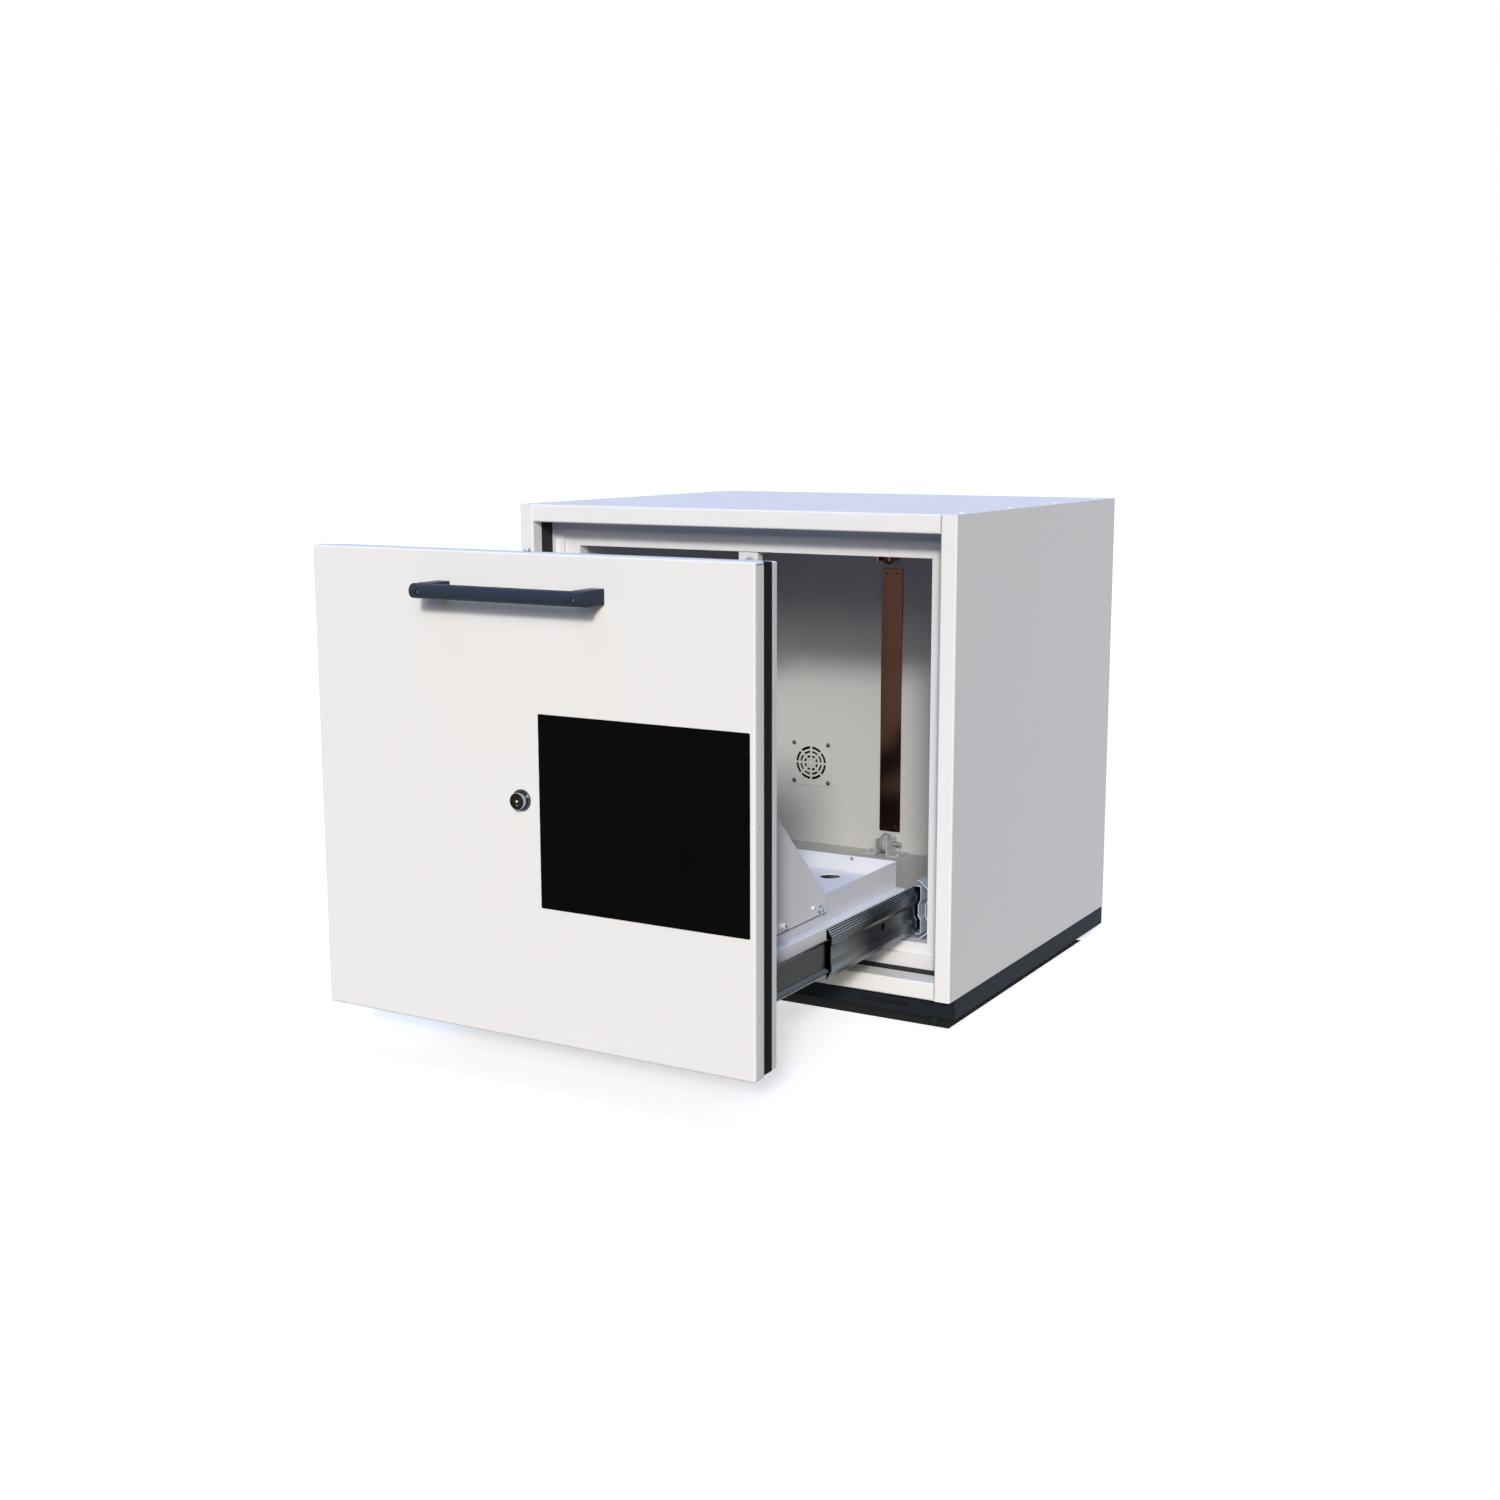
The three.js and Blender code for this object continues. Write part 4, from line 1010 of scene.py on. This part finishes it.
# Telescopic slides
SLIDE_SHEET = 1.2 * MM
SLIDE_BEND = 0.7 * MM
SLIDE_EDGE = 0.2 * MM
BEAD_HALF, BEAD_SLOPE, BEAD_DEPTH = 12.0 * MM, 5.5 * MM, 3.0 * MM  # bead pressed into each web
CARRIER_SHEET, CARRIER_BEND = 1.5 * MM, 1.0 * MM
CARRIER_FLAT = 26.5 * MM  # half the height of the carrier's flat wall
WING, WING_LIP = 11.7 * MM, 4.0 * MM  # width of the carrier's wings, and of the lips at their ends
CHANNEL_GAP = 9.2 * MM  # from the carrier's wall to the fixed channel
CHANNEL_HALF, CHANNEL_LIP = 30.0 * MM, 7.5 * MM
SHOULDER = 8.7 * MM  # height of the sloping shoulders of the middle member
SHOULDER_IN, SHOULDER_LIP = 5.6 * MM, 0.5 * MM
INNER_LIP, INNER_SHOULDER = 1.2 * MM, 5.0 * MM


def beaded(x, level, *flank):
    """Line of a member's outer face, with the long bead in its web. The flank is given upwards
    from the bead, as (distance in from the face, height over the middle), and turned over for
    the lower half."""
    rise = [(BEAD_DEPTH, BEAD_HALF - BEAD_SLOPE), (0, BEAD_HALF), *flank]
    fall = [(inwards, -height) for inwards, height in reversed(rise)]
    return [(x - inwards, level + height) for inwards, height in fall + rise]


def bent_member(face, thickness, radius, side, run):
    """A bent sheet on one side of the cabinet, carried along y."""
    return carried(sided(bent_sheet(face, thickness, radius), side), "y", *run)


def fixed_member(name, side):
    """Wall carrier, fixed channel and the spacer between them."""
    node = f"slide_outer_{name}"
    level = mid[node][2]
    wall = from_middle(node)[1]
    x = wall - CHANNEL_GAP
    flare = half_size[node][2]
    run = box[node][:, 1]
    carrier = beaded(wall, level, (0, CARRIER_FLAT), (WING, flare), (WING + WING_LIP, flare))
    channel = beaded(x, level, (0, CHANNEL_HALF), (CHANNEL_LIP, CHANNEL_HALF))
    sunk, bottom, top, end = 1 * MM, level + 14 * MM, level + 22 * MM, 60 * MM
    spacer = [(x - sunk, bottom), (wall - sunk, bottom), (wall - sunk, top), (x - sunk, top)]
    parts = [
        bent_member(carrier, CARRIER_SHEET, CARRIER_BEND, side, run),
        bent_member(channel, SLIDE_SHEET, SLIDE_BEND, side, run),
        carried(sided(spacer, side), "y", run[0] + end, run[1] - end),
    ]
    piece = f"slide_outer_member_{name}"
    assembled(piece, parts, zinc_pale, "carcass", (node,), edge=SLIDE_EDGE)


def middle_member(name, side):
    """Middle member with its sloping shoulders, and a black disc near its front end: a hole painted
    as shade.
    """
    node, body = f"slide_middle_{name}", f"middle_slide_{name}"
    level = mid[f"slide_outer_{name}"][2]
    x = from_middle(node)[1]
    half = half_size[node][2]
    lip = SHOULDER_IN + SHOULDER_LIP
    web = beaded(x, level, (0, half - SHOULDER), (SHOULDER_IN, half), (lip, half))
    part = bent_member(web, SLIDE_SHEET, SLIDE_BEND, side, box[node][:, 1])
    piece = f"slide_middle_member_{name}"
    assembled(piece, [part], zinc_dull, body, (node,), edge=SLIDE_EDGE)
    # The hole is a black disc on the web: painted shade.
    hole_at = (side * (x - BEAD_DEPTH), carcass_face - 33 * MM, level)
    hole = f"slide_hole_shade_{name}"
    heads(hole, SLIDE_HOLE_SHADE, [hole_at], "x", plate_and_shade_black, body, outward=side, steps=32)


def inner_member(name, side):
    """Inner member: a plain channel with sloping shoulders, open to the outside."""
    node = f"slide_inner_{name}"
    level = mid[f"slide_outer_{name}"][2]
    near, far = from_middle(node)
    half = half_size[node][2]
    rise = [(near, half - INNER_SHOULDER), (far - INNER_LIP, half), (far, half)]
    fall = [(x, -height) for x, height in rise]
    face = [(x, level + height) for x, height in rise[::-1] + fall]
    part = bent_member(face, SLIDE_SHEET, SLIDE_BEND, side, box[node][:, 1])
    piece = f"slide_inner_member_{name}"
    assembled(piece, [part], zinc_olive, "drawer", (node,), edge=SLIDE_EDGE)


def slide_members():
    """The bent sheets of both slides: each is a line of flats with round bends, along y."""
    for name, side in SIDES.items():
        fixed_member(name, side)
        middle_member(name, side)
        inner_member(name, side)


SEAT = 0.5 * MM  # height of a ball's seat over the shoulder
SEAT_FOOT = 0.2 * MM  # how deep a cage stands in it


def ball_cage(name, body, across, along, finish, rows=3):
    """Strip of ball seats along y on a sloping shoulder. `across` holds its two edges as (x, z).
    Over its width u and its length v, counted in balls, the strip rises along the slope's normal
    by SEAT * (0.3 + 0.7 * sin(pi rows u)^2 * (0.85 + 0.15 * sin(pi v)^2))."""
    first, last = np.array(across)
    slope = last - first
    normal = np.array([slope[1], -slope[0]]) / np.hypot(*slope)
    seats = round((along[1] - along[0]) / BALL_PITCH)
    u = np.linspace(0, 1, rows * 6 + 1)
    v = np.linspace(0, seats, seats * 6 + 1)
    bumps = np.outer(0.85 + 0.15 * np.sin(math.pi * v) ** 2, np.sin(math.pi * rows * u) ** 2)
    rise = SEAT * (0.3 + 0.7 * bumps)
    rise[:, [0, -1]] = 0
    rise[[0, -1], :] = 0
    points = np.empty((*rise.shape, 3))
    points[..., 0] = first[0] + slope[0] * u + normal[0] * rise
    points[..., 1] = (along[0] + (along[1] - along[0]) * v / seats)[:, None]
    points[..., 2] = first[1] + slope[1] * u + normal[1] * rise
    sunk = np.array([normal[0], 0, normal[1]]) * SEAT_FOOT
    below = points[[0, -1]][:, [0, -1]].reshape(-1, 3) - sunk
    count, start = rise.shape[1], rise.size
    faces = grid_faces(*rise.shape)
    edges = [
        list(range(count)),
        list(range(start - count, start))[::-1],
        list(range(0, start, count))[::-1],
        list(range(count - 1, start, count)),
    ]
    feet = [(start, start + 1), (start + 3, start + 2), (start + 2, start), (start + 1, start + 3)]
    faces += [edge + [second, first] for edge, (first, second) in zip(edges, feet)]
    faces.append([start, start + 1, start + 3, start + 2])
    assembled(name, [(np.concatenate([points.reshape(-1, 3), below]), faces)], finish, body)


CAGE_END = 30 * MM  # the cages end this far before the rear ends of their members


def cage_run(node, start):
    """From where to where a cage runs along y."""
    return low[node][1] + start, high[node][1] - CAGE_END


def ball_cages():
    """Ball strips on the shoulders of the middle member and on the lower lip of the inner one."""
    for name, side in SIDES.items():
        node = f"slide_middle_{name}"
        level = mid[node][2]
        x, half = from_middle(node)[1], half_size[node][2]
        edges = [(x - 0.3 * MM, half - SHOULDER + 0.5 * MM), (x - 5.3 * MM, half - 0.4 * MM)]
        along = cage_run(node, 1.5 * MM)
        for way, up, finish in (("upper", 1, cage_upper), ("lower", -1, cage_lower_shaded)):
            across = [(side * px, level + up * pz) for px, pz in edges][:: side * up]
            cage = f"slide_cage_{way}_{name}"
            ball_cage(cage, f"middle_slide_{name}", across, along, finish, rows=4)
        node = f"slide_inner_{name}"
        near, far = from_middle(node)
        half = half_size[node][2]
        edges = [(far - 0.7 * MM, 1.35 * MM - half), (near + 1.25 * MM, 5.3 * MM - half)]
        across = [(side * px, level + pz) for px, pz in edges][::side]
        along = cage_run(node, 4 * MM)
        ball_cage(f"slide_cage_inner_{name}", "drawer", across, along, cage_inner)


# Exhaust duct
def duct():
    """Turned tube with a rolled rim at its outer end."""
    wall, roll = 1.5 * MM, 0.75 * MM
    radius, half, _ = half_size["exhaust_duct"]
    profile = lines(
        (radius - wall, -half),
        (radius, -half),
        (radius, half - roll),
        arc((radius - roll, half - roll), roll, 0, 180, 8),
        (radius - wall, -half),
    )
    tube = turned(profile, mid["exhaust_duct"], "y", 64)
    assembled("exhaust_duct_tube", [tube], zinc_pale, "carcass", ("exhaust_duct",))


# Camera, floor and light: the camera is fitted to the cabinet's straight edges in the photograph
CAMERA_PLACE = (1.1576, -1.98415, 0.7031)
CAMERA_TURN = {"heading": -29.95, "pitch": 9.83, "roll": -0.089}  # degrees
CAMERA_LENS = 45.636  # millimetres, for a film of the next line's width
CAMERA_SENSOR = 36


def camera():
    """The photograph's camera: its place, and its turn from a heading, a pitch and a roll."""
    heading, pitch, roll = np.radians(list(CAMERA_TURN.values()))
    level = math.cos(pitch)
    forward = Vector((math.sin(heading) * level, math.cos(heading) * level, -math.sin(pitch)))
    right = Vector((math.cos(heading), -math.sin(heading), 0))
    up = right.cross(forward)
    tilted_right = right * math.cos(roll) + up * math.sin(roll)
    tilted_up = up * math.cos(roll) - right * math.sin(roll)
    data = bpy.data.cameras.new("camera")
    data.sensor_width = CAMERA_SENSOR
    data.lens = CAMERA_LENS
    data.clip_end = 100
    view = bpy.data.objects.new("camera", data)
    axes = Matrix((tilted_right, tilted_up, -forward)).transposed()
    view.matrix_world = Matrix.Translation(CAMERA_PLACE) @ axes.to_4x4()
    bpy.context.scene.collection.objects.link(view)
    bpy.context.scene.camera = view


KEY = Vector((0.48, -1.0, 0.465))  # direction towards the soft key light
KEY_LAMPS = {"key_core": (1.85, 6.0), "key_halo": (1.42, 26.0)}  # strength, and spread in degrees
KEY_COLOUR = (1.0, 0.978, 0.935)
SKY_COLOUR = (0.80, 1.36, 3.10)  # light from straight above
SKY_FALL = 8.0  # how fast it falls off towards the horizon
SIDE_LIGHT = (0.01, 0.01, 0.01)
BACKDROP = (1, 1, 1)
FLOOR_REACH = 30.0
FLOOR_LIGHT = 0.2  # light that the floor sends up
FLOOR_GLOW = 0.6  # glow that brings the floor, as it is seen, up to the backdrop
FLOOR_PALE, FLOOR_SHADOW_PAINT = (0.8, 0.8, 0.8), (0.02, 0.02, 0.02)
SHADOW_HALF, SHADOW_BACK = 290 * MM, 465 * MM  # reach of the painted shadow under the cabinet, aside and behind the face


def seen_rays(nodes):
    """1 for rays from the camera and those that gloss and glass send on, 0 for rays that light
    surfaces."""
    seen = nodes.node("LightPath", output="Is Camera Ray")
    for ray in ("Is Glossy Ray", "Is Transmission Ray"):
        seen = seen.at_least(nodes.node("LightPath", output=ray))
    return seen


def lamps():
    """The key light: a narrow sun in a wide one, both from the same side."""
    for name, (strength, spread) in KEY_LAMPS.items():
        lamp = bpy.data.lights.new(name, "SUN")
        lamp.energy = strength
        lamp.color = KEY_COLOUR
        lamp.angle = math.radians(spread)
        sun = bpy.data.objects.new(name, lamp)
        sun.matrix_world = KEY.to_track_quat("Z", "Y").to_matrix().to_4x4()
        bpy.context.scene.collection.objects.link(sun)


def studio():
    """A white backdrop for all that is seen, and for surfaces a cool light from above: the side
    light, going over to the sky's colour by the height's power SKY_FALL."""
    world = bpy.data.worlds.new("studio")
    bpy.context.scene.world = world
    world.use_nodes = True
    sky = Nodes(world.node_tree)
    place = sky.node("TexCoord", output="Generated")
    height = sky.node("SeparateXYZ", {}, {0: place}, output="Z").at_least(0)
    lit = sky.blend(height**SKY_FALL, SIDE_LIGHT, SKY_COLOUR)
    shown = sky.blend(seen_rays(sky), lit, BACKDROP)
    background = sky.node("Background", {}, {"Color": shown})
    sky.node("OutputWorld", {}, {"Surface": background})
    bpy.context.scene.view_settings.view_transform = "Standard"


def floor():
    """A wide pale floor that keeps the object's shadow and meets the white backdrop. Inside the
    plinth it carries a dark painted shadow, which the plinth's slots show."""
    corners = [(-1, -1, 0), (1, -1, 0), (1, 1, 0), (-1, 1, 0)]
    mesh = bpy.data.meshes.new("floor")
    mesh.from_pydata((np.array(corners) * FLOOR_REACH).tolist(), [], [(0, 1, 2, 3)])
    plane = bpy.data.objects.new("floor", mesh)
    bpy.context.scene.collection.objects.link(plane)
    ground = Finish("studio_floor", None)
    along = ground.part("Y")
    # The dark ground under the cabinet is a painted shadow.
    between = (along > high["plinth_front"][1]) * (along < carcass_face + SHADOW_BACK)
    under = (abs(ground.part("X")) < SHADOW_HALF) * between
    lit = ground.node("BsdfDiffuse", {}, {"Color": ground.blend(under, FLOOR_PALE, FLOOR_SHADOW_PAINT)})
    glow_colour = ground.blend(under, BACKDROP, FLOOR_SHADOW_PAINT)
    glow = ground.node("Emission", {}, {"Color": glow_colour, "Strength": FLOOR_GLOW})
    seen = ground.node("AddShader", {}, {0: lit, 1: glow})
    dim = ground.node("Emission", {}, {"Color": KEY_COLOUR, "Strength": FLOOR_LIGHT})
    choice = ground.node("MixShader", {}, {0: seen_rays(ground), 1: dim, 2: seen})
    ground.node("OutputMaterial", {}, {"Surface": choice})
    mesh.materials.append(ground.material)


camera()
lamps()
studio()
floor()
sheet_pieces()
folded_front()
black_plate()
grille_screws()
duct_mouth_shade()
cover_strip_rivets()
pulley_bracket_screws()
front_edge_plugs()
gusset_fasteners()
gusset_shadow_lines()
return_rivets()
keeper_button()
tray_insert_plugs()
pulley("lower_pulley", wheel_grey, "lower_wheel")
pulley("upper_pulley", upper_wheel_copper_reflection, "upper_wheel")
handle()
lock()
slide_members()
ball_cages()
duct()
